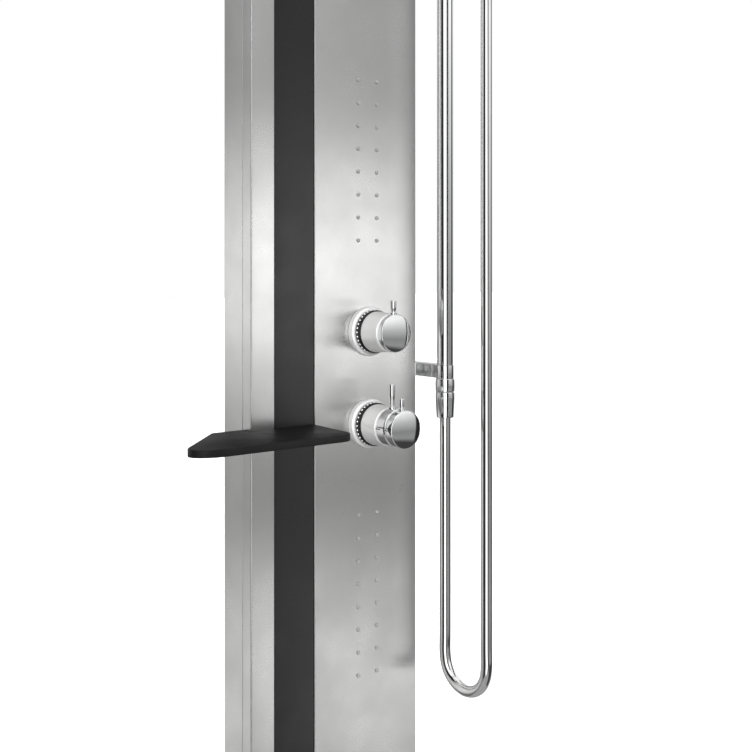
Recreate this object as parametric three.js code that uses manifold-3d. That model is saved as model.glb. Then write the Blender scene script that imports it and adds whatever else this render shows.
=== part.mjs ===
// Rainfall shower column: a wall-hung steel panel with a thermostatic mixer, a diverter, two
// banks of body jets, a corner shelf, a side rail with a hand shower on a hose, and a rain head.
//
// Millimetres. X runs across the panel, Y runs into the wall, Z runs up. The origin lies on the
// wall plane, on the panel's centre line, midway between the two controls.

import * as THREE from "three";
import { mergeVertices } from "three/addons/utils/BufferGeometryUtils.js";
import Module from "manifold-3d";

const wasm = await Module();
wasm.setup();

// ---------------------------------------------------------------- driving dimensions

const GAP = 0.3;
const SHEET = 1.5;

const PANEL = { width: 240, depth: 58, frontDepth: 18, bottom: -520, top: 1100, edgeRadius: 1.5 };
const INLAY = { x: -61.5, width: 55, setBack: 1.2, thickness: 2, recess: 3.5 };
const FACE = -PANEL.depth;
const SEAM = FACE + PANEL.frontDepth;

const CONTROL_X = 44;
const DIVERTER_Z = 55;
const MIXER_Z = -55;

const ESCUTCHEON = { radius: 29.5, front: 9 };
const BEZEL = { radius: 25.7, front: 17 };
const BARREL = { rearRadius: 24.2, frontRadius: 22.5, bore: 19 };
const CAP = { radius: 22.3, dome: 2.2, socket: 4.5, socketDepth: 6 };
const STICK_FOOT = 14;
const STICK_WAIST = 1;
const DIVERTER_KNOB = { barrelFront: 45.2, capFront: 57, stickAt: 48.6, stickTop: 38, stickRadius: 3.7 };
const MIXER_KNOB = {
  barrelFront: 41.7,
  ringFront: 59.4,
  capFront: 74.4,
  flowAt: 46.2,
  flowTop: 50.5,
  flowRadius: 3.9,
  temperatureAt: 63.9,
  temperatureTop: 35,
  temperatureRadius: 3.2,
};

const JET = {
  columns: [30, 58],
  rows: 8,
  pitch: 27.3,
  first: 163.6,
  margin: 12,
  hole: 2.5,
  radius: 2.2,
  stand: 1.8,
};

// How far each port stands out from the controls' line, and how deep it lies.
const PORT = { hot: 38, cold: 34, rain: 26, handset: 32, jetsUp: 36, jetsDown: 38 };
const VALVE_Y = -30;
const RAIN_PORT_Y = -26;
const JET_PORT_Y = -44;
const CARTRIDGE = { mixer: 17, diverter: 15, rear: -18.3, front: 10 };

const INLET = { spacing: 150, z: -200, radius: 12 };

const RAIL = { x: 144.5, y: FACE - 27, radius: 10, wall: 1.2, bottom: 11.2, top: 939.7 };
const BRACKET = {
  z: 2.7,
  halfHeight: 8.2,
  halfWidth: 7.5,
  ring: 10.7,
  footDepth: [-38, -12],
  jointY: -69,
  waterY: -21,
  screwY: -33.5,
};

const HOSE = { radius: 6.85, legY: FACE - 100 };
const SLIDER = { z: 745, height: 50, radius: 17 };
const TILT = { y: FACE - 62, z: 745 };
const HANDSET_LIFT = 45;
const NUT_BOTTOM = 703;

const ARM = { z: 1050, reach: 438, radius: 11, bore: 9, bend: 38 };
const BALL = { z: 982, radius: 12 };
const RAIN = { radius: 125, bottom: 950, rimTop: 959, hubRadius: 19 };

const SHELF = { top: -50, thickness: 8 };

// ---------------------------------------------------------------- materials

function material(color, roughness, metalness) {
  return () => new THREE.MeshStandardMaterial({ color, roughness, metalness });
}

const steel = material(0xc9cccd, 0.38, 1);
const satin = material(0xe2e4e3, 0.35, 0.9);
const chrome = material(0xe8ebed, 0.06, 1);
const blackGloss = material(0x151617, 0.22, 0);
const blackMatte = material(0x18191a, 0.45, 0);
const brass = material(0xb99a55, 0.4, 1);
const copper = material(0xb87350, 0.35, 1);
const zinc = material(0x9fa3a5, 0.5, 1);
const whitePlastic = material(0xe6e5df, 0.5, 0);
const silicone = material(0xb9bcbd, 0.6, 0);
const rubber = material(0x202122, 0.8, 0);
const braid = material(0xa8abad, 0.45, 0.9);

// ---------------------------------------------------------------- solid helpers

function toSolid(geometry) {
  const bare = geometry.clone();
  bare.deleteAttribute("normal");
  bare.deleteAttribute("uv");
  const merged = mergeVertices(bare, 1e-4);
  const mesh = new wasm.Mesh({
    numProp: 3,
    vertProperties: new Float32Array(merged.attributes.position.array),
    triVerts: new Uint32Array(merged.index.array),
  });
  return new wasm.Manifold(mesh);
}

function toGeometry(solid) {
  const mesh = solid.getMesh();
  const geometry = new THREE.BufferGeometry();
  geometry.setAttribute("position", new THREE.BufferAttribute(new Float32Array(mesh.vertProperties), 3));
  geometry.setIndex(new THREE.BufferAttribute(new Uint32Array(mesh.triVerts), 1));
  geometry.computeVertexNormals();
  return geometry;
}

function join(...geometries) {
  return toGeometry(geometries.map(toSolid).reduce((sum, next) => sum.add(next)));
}

function cut(base, ...tools) {
  return toGeometry(tools.map(toSolid).reduce((left, tool) => left.subtract(tool), toSolid(base)));
}

function block([x0, x1], [y0, y1], [z0, z1]) {
  const box = new THREE.BoxGeometry(x1 - x0, y1 - y0, z1 - z0);
  return box.translate((x0 + x1) / 2, (y0 + y1) / 2, (z0 + z1) / 2);
}

// A round bar between two points.
function rod(radius, start, end, sides = 16) {
  const from = new THREE.Vector3(...start);
  const along = new THREE.Vector3(...end).sub(from);
  const bar = new THREE.CylinderGeometry(radius, radius, along.length(), sides);
  const direction = along.clone().normalize();
  bar.applyQuaternion(new THREE.Quaternion().setFromUnitVectors(new THREE.Vector3(0, 1, 0), direction));
  return bar.translate(...from.addScaledVector(along, 0.5).toArray());
}

// Twice the area that the profile encloses, positive where it runs anticlockwise.
function profileArea(profile) {
  return profile.reduce((sum, [r, h], i) => {
    const [nextR, nextH] = profile[(i + 1) % profile.length];
    return sum + r * nextH - nextR * h;
  }, 0);
}

// A turned piece about +Z. The profile lists radius and height; a hollow one closes on itself,
// and one that reaches the axis starts and ends there.
function turned(profile, sides = 20) {
  const outward = profileArea(profile) > 0 ? profile : [...profile].reverse();
  const start = outward.findIndex(([r], i) => r === 0 && outward.at(i - 1)[0] === 0);
  const closed =
    start < 0 ? [...outward, outward[0]] : [...outward.slice(start), ...outward.slice(0, start)];
  const lathe = new THREE.LatheGeometry(closed.map(([r, h]) => new THREE.Vector2(r, h)), sides);
  return lathe.rotateX(Math.PI / 2);
}

// A turned piece whose axis points out of the panel, at a control: heights are out from the face.
function turnedOut(profile, z, sides = 20) {
  return turned(profile, sides).rotateX(Math.PI / 2).translate(CONTROL_X, FACE, z);
}

function outlineOf(points) {
  return new THREE.Shape(points.map(([x, y]) => new THREE.Vector2(x, y)));
}

function extrudeUp(outline, z0, z1) {
  const settings = { depth: z1 - z0, bevelEnabled: false, curveSegments: 6 };
  return new THREE.ExtrudeGeometry(outline, settings).translate(0, 0, z0);
}

// A tube along a smooth curve through the points, solid or with a bore.
function tube(points, radius, { sides = 12, steps = 24, bore = 0 } = {}) {
  const section = new THREE.Shape().absarc(0, 0, radius, 0, 2 * Math.PI);
  if (bore > 0) section.holes.push(new THREE.Path().absarc(0, 0, bore, 0, 2 * Math.PI));
  const path = new THREE.CatmullRomCurve3(points.map((p) => new THREE.Vector3(...p)), false, "centripetal");
  return new THREE.ExtrudeGeometry(section, { steps, curveSegments: sides / 2, extrudePath: path });
}

const group = new THREE.Group();

function add(name, geometry, makeMaterial) {
  const mesh = new THREE.Mesh(geometry, makeMaterial());
  mesh.name = name;
  group.add(mesh);
}

// ---------------------------------------------------------------- panel casing

// Quarter turn of a folded edge, from one angle to another, in the plan.
function foldedEdge(x, y, radius, startDeg, endDeg, count = 4) {
  return Array.from({ length: count + 1 }, (_, i) => {
    const angle = THREE.MathUtils.degToRad(startDeg + ((endDeg - startDeg) * i) / count);
    return [x + radius * Math.cos(angle), y + radius * Math.sin(angle)];
  });
}

function jetPlaces(side) {
  return JET.columns.flatMap((x) =>
    Array.from({ length: JET.rows }, (_, row) => [x, side * (JET.first + row * JET.pitch)]),
  );
}

function frontPanelProfile() {
  const half = PANEL.width / 2;
  const r = PANEL.edgeRadius;
  const inner = half - SHEET;
  const back = FACE + SHEET;
  const slotLeft = INLAY.x - INLAY.width / 2 - GAP;
  const slotRight = INLAY.x + INLAY.width / 2 + GAP;
  const slotFloor = FACE + INLAY.recess;
  return [
    [-half, SEAM - GAP / 2],
    ...foldedEdge(-half + r, FACE + r, r, 180, 270),
    [slotLeft, FACE],
    [slotLeft, slotFloor],
    [slotRight, slotFloor],
    [slotRight, FACE],
    ...foldedEdge(half - r, FACE + r, r, 270, 360),
    [half, SEAM - GAP / 2],
    [inner, SEAM - GAP / 2],
    [inner, back],
    [slotRight + SHEET, back],
    [slotRight + SHEET, slotFloor + SHEET],
    [slotLeft - SHEET, slotFloor + SHEET],
    [slotLeft - SHEET, back],
    [-inner, back],
    [-inner, SEAM - GAP / 2],
  ];
}

function throughFace(radius, x, z, sides) {
  return rod(radius, [x, FACE - 5, z], [x, FACE + 12, z], sides);
}

function shelfScrewPlaces() {
  return { left: -105, right: -50 };
}

function frontPanel() {
  const pan = extrudeUp(outlineOf(frontPanelProfile()), PANEL.bottom, PANEL.top);
  const jets = [...jetPlaces(1), ...jetPlaces(-1)].map(([x, z]) => throughFace(JET.hole, x, z, 6));
  const screws = Object.values(shelfScrewPlaces()).map((x) => throughFace(2.5, x, shelfMid(), 8));
  return cut(
    pan,
    ...jets,
    ...screws,
    throughFace(CARTRIDGE.mixer + 1.5, CONTROL_X, MIXER_Z, 24),
    throughFace(CARTRIDGE.diverter + 1.5, CONTROL_X, DIVERTER_Z, 24),
    throughFace(ARM.radius + 0.6, 0, ARM.z, 20),
  );
}

// The black strip lies in its slot, a little behind the steel face.
function blackInlay() {
  const half = INLAY.width / 2;
  const strip = block(
    [INLAY.x - half, INLAY.x + half],
    [FACE + INLAY.setBack, FACE + INLAY.setBack + INLAY.thickness],
    [PANEL.bottom + 0.5, PANEL.top - 0.5],
  );
  return cut(strip, throughFace(2.5, shelfScrewPlaces().right, shelfMid(), 8));
}

const WALL_BRACKET = { z: 900, halfWidth: 60, halfHeight: 20, lip: 22 };
const LOWER_FIXING = { x: 60, z: -440 };

function rearBox() {
  const half = PANEL.width / 2;
  const inner = half - SHEET;
  const channel = extrudeUp(
    outlineOf([
      [half, 0],
      [-half, 0],
      [-half, SEAM + GAP / 2],
      [-inner, SEAM + GAP / 2],
      [-inner, -SHEET],
      [inner, -SHEET],
      [inner, SEAM + GAP / 2],
      [half, SEAM + GAP / 2],
    ].reverse()),
    PANEL.bottom,
    PANEL.top,
  );
  const window = block(
    [-WALL_BRACKET.halfWidth - 2, WALL_BRACKET.halfWidth + 2],
    [-5, 5],
    [WALL_BRACKET.z - WALL_BRACKET.halfHeight - 2, WALL_BRACKET.z + WALL_BRACKET.halfHeight + 2],
  );
  const inlets = [-1, 1].map((side) => {
    const x = (side * INLET.spacing) / 2;
    return rod(INLET.radius + 3, [x, -5, INLET.z], [x, 5, INLET.z], 20);
  });
  const throughSide = (radius, y, z, sides) => rod(radius, [half - 5, y, z], [half + 5, y, z], sides);
  const waterway = throughSide(6, BRACKET.waterY, BRACKET.z, 12);
  const { x: fixingX, z: fixingZ } = LOWER_FIXING;
  const lowerFixings = [-fixingX, fixingX].map((x) => rod(3, [x, -5, fixingZ], [x, 5, fixingZ], 10));
  const screws = [BRACKET.z, UPPER_BRACKET_Z].map((z) => throughSide(2.3, BRACKET.screwY, z, 8));
  return cut(channel, window, ...inlets, waterway, ...lowerFixings, ...screws);
}

// A flat tray with a folded rim, inside the ends of the casing.
function endCap(z, inwards) {
  const x = PANEL.width / 2 - SHEET - GAP;
  const y = [FACE + INLAY.recess + SHEET + GAP, -SHEET - GAP];
  const plate = block([-x, x], y, [Math.min(z, z + inwards * 2), Math.max(z, z + inwards * 2)]);
  const rimDepth = [Math.min(z, z + inwards * 14), Math.max(z, z + inwards * 14)];
  const rim = cut(
    block([-x, x], y, rimDepth),
    block([-x + SHEET, x - SHEET], [y[0] + SHEET, y[1] - SHEET], [z - 50, z + 50]),
  );
  return join(plate, rim);
}

function wallBracket() {
  const { z, halfWidth, halfHeight, lip } = WALL_BRACKET;
  const plate = block([-halfWidth, halfWidth], [-2, 0], [z - halfHeight, z + halfHeight]);
  const hook = block([-50, 50], [-4, -SHEET - GAP], [z + halfHeight - 6, z + lip + 14]);
  const holes = [-40, 40].map((x) => rod(3, [x, -10, z - 6], [x, 10, z - 6], 12));
  return cut(join(plate, hook), ...holes);
}

// ---------------------------------------------------------------- valve and water ways

function valveBody() {
  const front = FACE + 6;
  const rear = -8;
  const x = CONTROL_X;
  const body = join(
    rod(24, [x, rear, MIXER_Z], [x, front, MIXER_Z], 20),
    rod(22, [x, rear, DIVERTER_Z], [x, front, DIVERTER_Z], 20),
    block([x - 13, x + 13], [front + 4, rear - 4], [MIXER_Z + 10, DIVERTER_Z - 10]),
    rod(10, [x - PORT.hot, VALVE_Y, MIXER_Z], [x + PORT.cold, VALVE_Y, MIXER_Z], 12),
    rod(9, [x - PORT.rain, RAIN_PORT_Y, DIVERTER_Z], [x, RAIN_PORT_Y, DIVERTER_Z], 12),
    rod(9, [x, BRACKET.waterY, DIVERTER_Z], [x + PORT.handset, BRACKET.waterY, DIVERTER_Z], 12),
    rod(7.5, [x, JET_PORT_Y, DIVERTER_Z], [x, JET_PORT_Y, DIVERTER_Z + PORT.jetsUp], 12),
    rod(7.5, [x, JET_PORT_Y, MIXER_Z], [x, JET_PORT_Y, MIXER_Z - PORT.jetsDown], 12),
  );
  return cut(
    body,
    rod(CARTRIDGE.mixer + GAP, [x, CARTRIDGE.rear + GAP, MIXER_Z], [x, FACE - 5, MIXER_Z], 20),
    rod(CARTRIDGE.diverter + GAP, [x, CARTRIDGE.rear + GAP, DIVERTER_Z], [x, FACE - 5, DIVERTER_Z], 20),
    rod(5, [x - 60, VALVE_Y, MIXER_Z], [x + 60, VALVE_Y, MIXER_Z], 8),
    rod(5, [x - 60, RAIN_PORT_Y, DIVERTER_Z], [x, RAIN_PORT_Y, DIVERTER_Z], 8),
    rod(5, [x, BRACKET.waterY, DIVERTER_Z], [x + 60, BRACKET.waterY, DIVERTER_Z], 8),
    rod(4.5, [x, JET_PORT_Y, MIXER_Z - 60], [x, JET_PORT_Y, DIVERTER_Z + 60], 8),
  );
}

function cartridge(radius, z) {
  const rearHeight = FACE - CARTRIDGE.rear;
  return turnedOut(
    [
      [0, rearHeight],
      [radius - 1, rearHeight],
      [radius, rearHeight + 1],
      [radius, -8],
      [radius - 2, -6],
      [radius - 2, CARTRIDGE.front],
      [0, CARTRIDGE.front],
    ],
    z,
    20,
  );
}

// Lowest and highest point of a bank of jets: side is 1 above the controls and -1 below them.
function jetBankHeights(side) {
  const near = JET.first - JET.margin;
  const far = JET.first + (JET.rows - 1) * JET.pitch + JET.margin;
  return side > 0 ? [near, far] : [-far, -near];
}

function jetManifold(side) {
  const [z0, z1] = jetBankHeights(side);
  const [x0, x1] = [CONTROL_X - 26, CONTROL_X + 26];
  const [y0, y1] = [FACE + 4.1, FACE + 20];
  const wall = 2;
  const hollow = block([x0 + wall, x1 - wall], [y0 - 5, y1 - wall], [z0 + wall, z1 - wall]);
  const tray = cut(block([x0, x1], [y0, y1], [z0, z1]), hollow);
  const portEnd = side > 0 ? DIVERTER_Z + PORT.jetsUp + GAP : MIXER_Z - PORT.jetsDown - GAP;
  const trayEnd = side > 0 ? z0 : z1;
  const upright = (radius, from, to, sides) =>
    rod(radius, [CONTROL_X, JET_PORT_Y, from], [CONTROL_X, JET_PORT_Y, to], sides);
  const spigot = upright(6.5, portEnd, trayEnd + side, 12);
  const waterway = upright(4, portEnd - side * 5, trayEnd + side * 6, 10);
  return cut(join(tray, spigot), waterway);
}

function jetMat(side) {
  const back = FACE + SHEET + GAP + 2;
  const plate = block([CONTROL_X - 25, CONTROL_X + 25], [back - 2, back], jetBankHeights(side));
  const tip = FACE - JET.stand;
  const nozzles = jetPlaces(side).map(([x, z]) => rod(JET.radius, [x, back, z], [x, tip, z], 6));
  return join(plate, ...nozzles);
}

function inletUnion(side) {
  const x = (side * INLET.spacing) / 2;
  const collar = rod(INLET.radius, [x, 0, INLET.z], [x, -12, INLET.z], 6);
  const elbow = join(
    rod(9, [x, -6, INLET.z], [x, -24, INLET.z], 16),
    rod(9, [x, -22, INLET.z - 9], [x, -22, INLET.z + 22], 16),
  );
  const bore = rod(5, [x, 5, INLET.z], [x, -22, INLET.z], 12);
  const riser = rod(5, [x, -22, INLET.z], [x, -22, INLET.z + 40], 12);
  return cut(join(collar, elbow), bore, riser);
}

const SUPPLY_START = INLET.z + 22 + GAP;

function supplyHoseHot() {
  const end = CONTROL_X - PORT.hot - GAP;
  return tube(
    [
      [-75, -22, SUPPLY_START],
      [-75, -22, -160],
      [-76, -23, -120],
      [-66, -26, -80],
      [-42, -29, -60],
      [-18, -30, -55],
      [end, VALVE_Y, MIXER_Z],
    ],
    6,
    { sides: 8, steps: 14 },
  );
}

function supplyHoseCold() {
  const end = CONTROL_X + PORT.cold + GAP;
  return tube(
    [
      [75, -22, SUPPLY_START],
      [75, -22, -160],
      [84, -22, -130],
      [100, -25, -100],
      [107, -28, -78],
      [102, -30, -61],
      [90, -30, -55.5],
      [end, VALVE_Y, MIXER_Z],
    ],
    6,
    { sides: 8, steps: 16 },
  );
}

// A copper pipe from the diverter, up behind the jets, to the back of the rain arm.
function rainRiser() {
  const radius = 6;
  const bendTop = 78;
  const elbowStart = ARM.z - 24;
  const y = -22;
  const lowerBend = [
    [CONTROL_X - PORT.rain - GAP, RAIN_PORT_Y, DIVERTER_Z],
    [12, RAIN_PORT_Y, DIVERTER_Z],
    [4, -25.5, 58],
    [0, -24, 66],
    [0, y, bendTop - 3],
    [0, y, bendTop + 1],
  ];
  const elbow = [
    [0, y, elbowStart - 1],
    [0, y, elbowStart + 3],
    [0, -23.5, ARM.z - 9],
    [0, -30, ARM.z - 1],
    [0, -35, ARM.z],
    [0, FACE + 18 + GAP, ARM.z],
  ];
  return join(
    tube(lowerBend, radius, { sides: 8, steps: 6 }),
    rod(radius - 0.05, [0, y, bendTop], [0, y, elbowStart], 8),
    tube(elbow, radius, { sides: 8, steps: 6 }),
  );
}

function handsetFeed() {
  const y = BRACKET.waterY;
  return tube(
    [
      [CONTROL_X + PORT.handset + GAP, y, DIVERTER_Z],
      [84, y, DIVERTER_Z],
      [94, y, 49],
      [98, y, 38],
      [98, y, 20],
      [101, y, 9],
      [109, y, 3.4],
      [114, y, BRACKET.z],
      [PANEL.width / 2 - SHEET - GAP, y, BRACKET.z],
    ],
    5,
    { sides: 8, steps: 16 },
  );
}

// ---------------------------------------------------------------- control knobs

function escutcheon(bore, z) {
  const { radius, front } = ESCUTCHEON;
  return turnedOut(
    [
      [bore, GAP],
      [radius, GAP],
      [radius, front - 3.5],
      [radius - 1, front - 1.2],
      [radius - 3, front],
      [bore, front],
    ],
    z,
    24,
  );
}

function bezel(bore, z) {
  const { radius, front } = BEZEL;
  const rear = ESCUTCHEON.front + GAP;
  return turnedOut([[bore, rear], [radius, rear], [radius - 0.4, front], [bore, front]], z);
}

function barrel(front, z) {
  const rear = BEZEL.front + GAP;
  const { rearRadius, frontRadius, bore } = BARREL;
  return turnedOut(
    [
      [bore, rear],
      [rearRadius, rear],
      [rearRadius, rear + 2],
      [frontRadius, front - 6],
      [frontRadius, front],
      [bore, front],
    ],
    z,
  );
}

// The domed mirror end of a knob, with a blind socket for its spindle.
function knobCap(rear, front, z) {
  const rim = front - CAP.dome;
  const { radius, socket, socketDepth } = CAP;
  return turnedOut(
    [
      [socket, rear],
      [radius - 2.2, rear],
      [radius - 0.6, rear + 0.7],
      [radius, rear + 2.2],
      [radius, rim - 1.9],
      [radius - 0.5, rim - 0.7],
      [radius - 1.9, rim],
      [radius * 0.66, front - CAP.dome * 0.43],
      [radius * 0.33, front - CAP.dome * 0.11],
      [0, front],
      [0, front - socketDepth],
      [socket, front - socketDepth],
    ],
    z,
  );
}

function stickSocket(radius, at, z) {
  const y = FACE - at;
  return rod(radius, [CONTROL_X, y, z + STICK_FOOT], [CONTROL_X, y, z + 40], 12);
}

function stick(radius, at, top, z) {
  const start = z + STICK_FOOT + GAP;
  const height = top - STICK_FOOT - GAP;
  const profile = [
    [0, 0],
    [radius - STICK_WAIST, 0],
    [radius - STICK_WAIST, height * 0.45],
    [radius, height * 0.55],
    [radius, height - 0.8],
    [radius - 0.8, height],
    [0, height],
  ];
  return turned(profile, 14).translate(CONTROL_X, FACE - at, start);
}

function spindle(radius, rear, front, z) {
  return turnedOut([[0, rear], [radius, rear], [radius, front], [0, front]], z, 12);
}

function diverterKnob() {
  const { barrelFront, capFront, stickAt, stickTop, stickRadius } = DIVERTER_KNOB;
  const cap = knobCap(barrelFront + GAP, capFront, DIVERTER_Z);
  add("diverter_escutcheon", escutcheon(CARTRIDGE.diverter + 0.8, DIVERTER_Z), satin);
  add("diverter_bezel", bezel(CARTRIDGE.diverter + 0.8, DIVERTER_Z), blackMatte);
  add("diverter_barrel", barrel(barrelFront, DIVERTER_Z), satin);
  add("diverter_cap", cut(cap, stickSocket(stickRadius + GAP - STICK_WAIST, stickAt, DIVERTER_Z)), chrome);
  add("diverter_stick", stick(stickRadius, stickAt, stickTop, DIVERTER_Z), chrome);
  const spindleFront = capFront - CAP.socketDepth - GAP;
  add("diverter_spindle", spindle(4.2, CARTRIDGE.front + GAP, spindleFront, DIVERTER_Z), brass);
  add("diverter_cartridge", cartridge(CARTRIDGE.diverter, DIVERTER_Z), whitePlastic);
}

// The flow lever's ring, carried by a web on the sleeve.
function flowRing() {
  const rear = MIXER_KNOB.barrelFront + GAP;
  const front = MIXER_KNOB.ringFront;
  return turnedOut(
    [
      [8.5, rear],
      [CAP.radius - 1, rear],
      [CAP.radius, rear + 1.5],
      [CAP.radius, front - 0.8],
      [CAP.radius - 0.8, front],
      [8.5, front],
    ],
    MIXER_Z,
  );
}

function mixerKnob() {
  const knob = MIXER_KNOB;
  const cap = knobCap(knob.ringFront + GAP + 0.1, knob.capFront, MIXER_Z);
  const flowHole = stickSocket(knob.flowRadius + GAP - STICK_WAIST, knob.flowAt, MIXER_Z);
  const temperatureHole = stickSocket(knob.temperatureRadius + GAP - STICK_WAIST, knob.temperatureAt, MIXER_Z);
  add("mixer_escutcheon", escutcheon(CARTRIDGE.mixer + 0.8, MIXER_Z), satin);
  add("mixer_bezel", bezel(CARTRIDGE.mixer + 0.8, MIXER_Z), blackMatte);
  add("mixer_barrel", barrel(knob.barrelFront, MIXER_Z), satin);
  add("flow_ring", cut(flowRing(), flowHole), chrome);
  add("flow_stick", stick(knob.flowRadius, knob.flowAt, knob.flowTop, MIXER_Z), chrome);
  add("temperature_cap", cut(cap, temperatureHole), chrome);
  const { temperatureRadius, temperatureAt, temperatureTop } = knob;
  add("temperature_stick", stick(temperatureRadius, temperatureAt, temperatureTop, MIXER_Z), chrome);
  add(
    "flow_sleeve",
    turnedOut(
      [
        [4.6, CARTRIDGE.front + GAP],
        [8.2, CARTRIDGE.front + GAP],
        [8.2, knob.ringFront - 1],
        [4.6, knob.ringFront - 1],
      ],
      MIXER_Z,
      16,
    ),
    brass,
  );
  const spindleFront = knob.capFront - CAP.socketDepth - GAP;
  add("temperature_spindle", spindle(4.2, CARTRIDGE.front + GAP, spindleFront, MIXER_Z), brass);
  add("mixer_cartridge", cartridge(CARTRIDGE.mixer, MIXER_Z), whitePlastic);
}

// ---------------------------------------------------------------- shelf

function shelfMid() {
  return SHELF.top - SHELF.thickness / 2;
}

// The shelf wraps the panel's left corner: its plan is a long blade with round ends.
function shelfOutline() {
  const left = -PANEL.width / 2 - GAP;
  const face = FACE - GAP;
  const rear = FACE + 17;
  const front = FACE - 84;
  const outline = new THREE.Shape();
  outline.moveTo(-33.5, face);
  outline.lineTo(left, face);
  outline.lineTo(left, rear);
  outline.lineTo(-157, rear);
  outline.quadraticCurveTo(-162, rear, -166, FACE + 11);
  outline.lineTo(-227.5, FACE - 52);
  outline.quadraticCurveTo(-238.3, FACE - 63, -230.5, FACE - 72);
  outline.quadraticCurveTo(-221, front, -199, front);
  outline.lineTo(-56, front);
  outline.quadraticCurveTo(-38.5, front, -37.5, front + 18);
  outline.closePath();
  return outline;
}

function shelf() {
  const board = extrudeUp(shelfOutline(), SHELF.top - SHELF.thickness, SHELF.top);
  const z = shelfMid();
  const drilled = (x) => rod(2.1, [x, FACE - 20, z], [x, FACE + 5, z], 8);
  const holes = Object.values(shelfScrewPlaces()).map(drilled);
  return cut(board, ...holes);
}

function shelfScrew(x) {
  const inlayed = Math.abs(x - INLAY.x) < INLAY.width / 2;
  const seat = (inlayed ? INLAY.recess : 0) + SHEET + GAP;
  const head = seat + 2.6;
  const screw = turned([[0, -18], [1.8, -17], [1.8, seat], [4, seat], [4, head], [0, head]], 10);
  return screw.rotateX(-Math.PI / 2).translate(x, FACE, shelfMid());
}

// ---------------------------------------------------------------- rail, brackets and outlet

const UPPER_BRACKET_Z = RAIL.top + GAP + BRACKET.halfHeight;

function bracketArm(z, frontY) {
  const { halfHeight, halfWidth, footDepth } = BRACKET;
  const zRange = [z - halfHeight, z + halfHeight];
  const arm = block([RAIL.x - halfWidth, RAIL.x + halfWidth], [frontY, footDepth[1]], zRange);
  const side = PANEL.width / 2;
  const foot = block([side + GAP, RAIL.x], footDepth, zRange);
  const pilot = rod(1.9, [side, BRACKET.screwY, z], [side + 12, BRACKET.screwY, z], 8);
  return cut(join(arm, foot), pilot);
}

function railRing(z) {
  const { halfHeight, halfWidth, ring } = BRACKET;
  const [low, high] = [z - halfHeight, z + halfHeight];
  const stub = block([RAIL.x - halfWidth, RAIL.x + halfWidth], [RAIL.y, BRACKET.jointY], [low, high]);
  return join(rod(ring, [RAIL.x, RAIL.y, low], [RAIL.x, RAIL.y, high], 28), stub);
}

function lowerBracket() {
  const arm = bracketArm(BRACKET.z, BRACKET.jointY + GAP);
  return cut(
    arm,
    rod(4, [PANEL.width / 2 - 5, BRACKET.waterY, BRACKET.z], [RAIL.x, BRACKET.waterY, BRACKET.z], 12),
    rod(4, [RAIL.x, BRACKET.waterY, BRACKET.z], [RAIL.x, BRACKET.jointY - 5, BRACKET.z], 12),
  );
}

function outletElbow() {
  return cut(
    railRing(BRACKET.z),
    rod(4, [RAIL.x, BRACKET.jointY + 5, BRACKET.z], [RAIL.x, RAIL.y, BRACKET.z], 12),
    rod(4, [RAIL.x, RAIL.y, BRACKET.z], [RAIL.x, RAIL.y, BRACKET.z - 20], 12),
  );
}

function upperBracket() {
  return join(bracketArm(UPPER_BRACKET_Z, BRACKET.jointY - 1), railRing(UPPER_BRACKET_Z));
}

function bracketScrew(z) {
  const inside = PANEL.width / 2 - SHEET - GAP;
  const screw = turned([[0, 0], [3.6, 0], [3.6, 2.4], [1.6, 2.4], [1.6, 12], [0, 12.6]], 10);
  return screw.rotateY(Math.PI / 2).translate(inside - 2.4, BRACKET.screwY, z);
}

function onRail(geometry) {
  return geometry.translate(RAIL.x, RAIL.y, 0);
}

function rail() {
  const { radius, wall, bottom, top } = RAIL;
  return onRail(turned([[radius - wall, bottom], [radius, bottom], [radius, top], [radius - wall, top]]));
}

const OUTLET_BOTTOM = BRACKET.z - BRACKET.halfHeight;

function outletNut() {
  const top = OUTLET_BOTTOM - GAP;
  const bottom = -21.8;
  const profile = [[4, top], [11.4, top], [12, top - 0.8], [12, bottom + 0.8], [11.4, bottom], [4, bottom]];
  return onRail(turned(profile));
}

function hoseNutLower() {
  const profile = [[4, -22.1], [11.6, -22.1], [11.9, -23], [11.9, -29], [10.6, -53.2], [10, -54], [4, -54]];
  return onRail(turned(profile));
}

// ---------------------------------------------------------------- hand shower and its holder

function onTiltAxis(radius, x0, x1, sides) {
  return rod(radius, [RAIL.x + x0, TILT.y, TILT.z], [RAIL.x + x1, TILT.y, TILT.z], sides);
}

function slider() {
  const { z, height, radius } = SLIDER;
  const bottom = z - height / 2;
  const top = z + height / 2;
  const bore = RAIL.radius + 0.4;
  const sleeve = onRail(
    turned(
      [
        [bore, bottom],
        [radius - 2, bottom],
        [radius, bottom + 3],
        [radius, top - 3],
        [radius - 2, top],
        [bore, top],
      ],
    ),
  );
  const cheeks = [-1, 1].map((side) => {
    const x = [RAIL.x + side * 6.6, RAIL.x + side * 12].sort((a, b) => a - b);
    return join(
      block(x, [TILT.y, RAIL.y - bore - 1.5], [TILT.z - 11, TILT.z + 11]),
      onTiltAxis(11, side * 6.6, side * 12, 20),
    );
  });
  const pinHole = onTiltAxis(2.8, -20, 20, 12);
  const knobHole = rod(3.2, [RAIL.x + 13, RAIL.y, z], [RAIL.x + 30, RAIL.y, z], 12);
  return cut(join(sleeve, ...cheeks), pinHole, knobHole);
}

// The locking knob screws into the sleeve from the side.
function sliderKnob() {
  const profile = [
    [0, 13.6],
    [2.9, 13.6],
    [2.9, 17.6],
    [10.5, 17.6],
    [11, 18.4],
    [10.4, 31],
    [9.2, 32.2],
    [0, 32.6],
  ];
  return turned(profile, 24).rotateY(Math.PI / 2).translate(RAIL.x, RAIL.y, SLIDER.z);
}

function tiltPin() {
  return onTiltAxis(2.5, -12.6, 12.6, 12);
}

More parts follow.
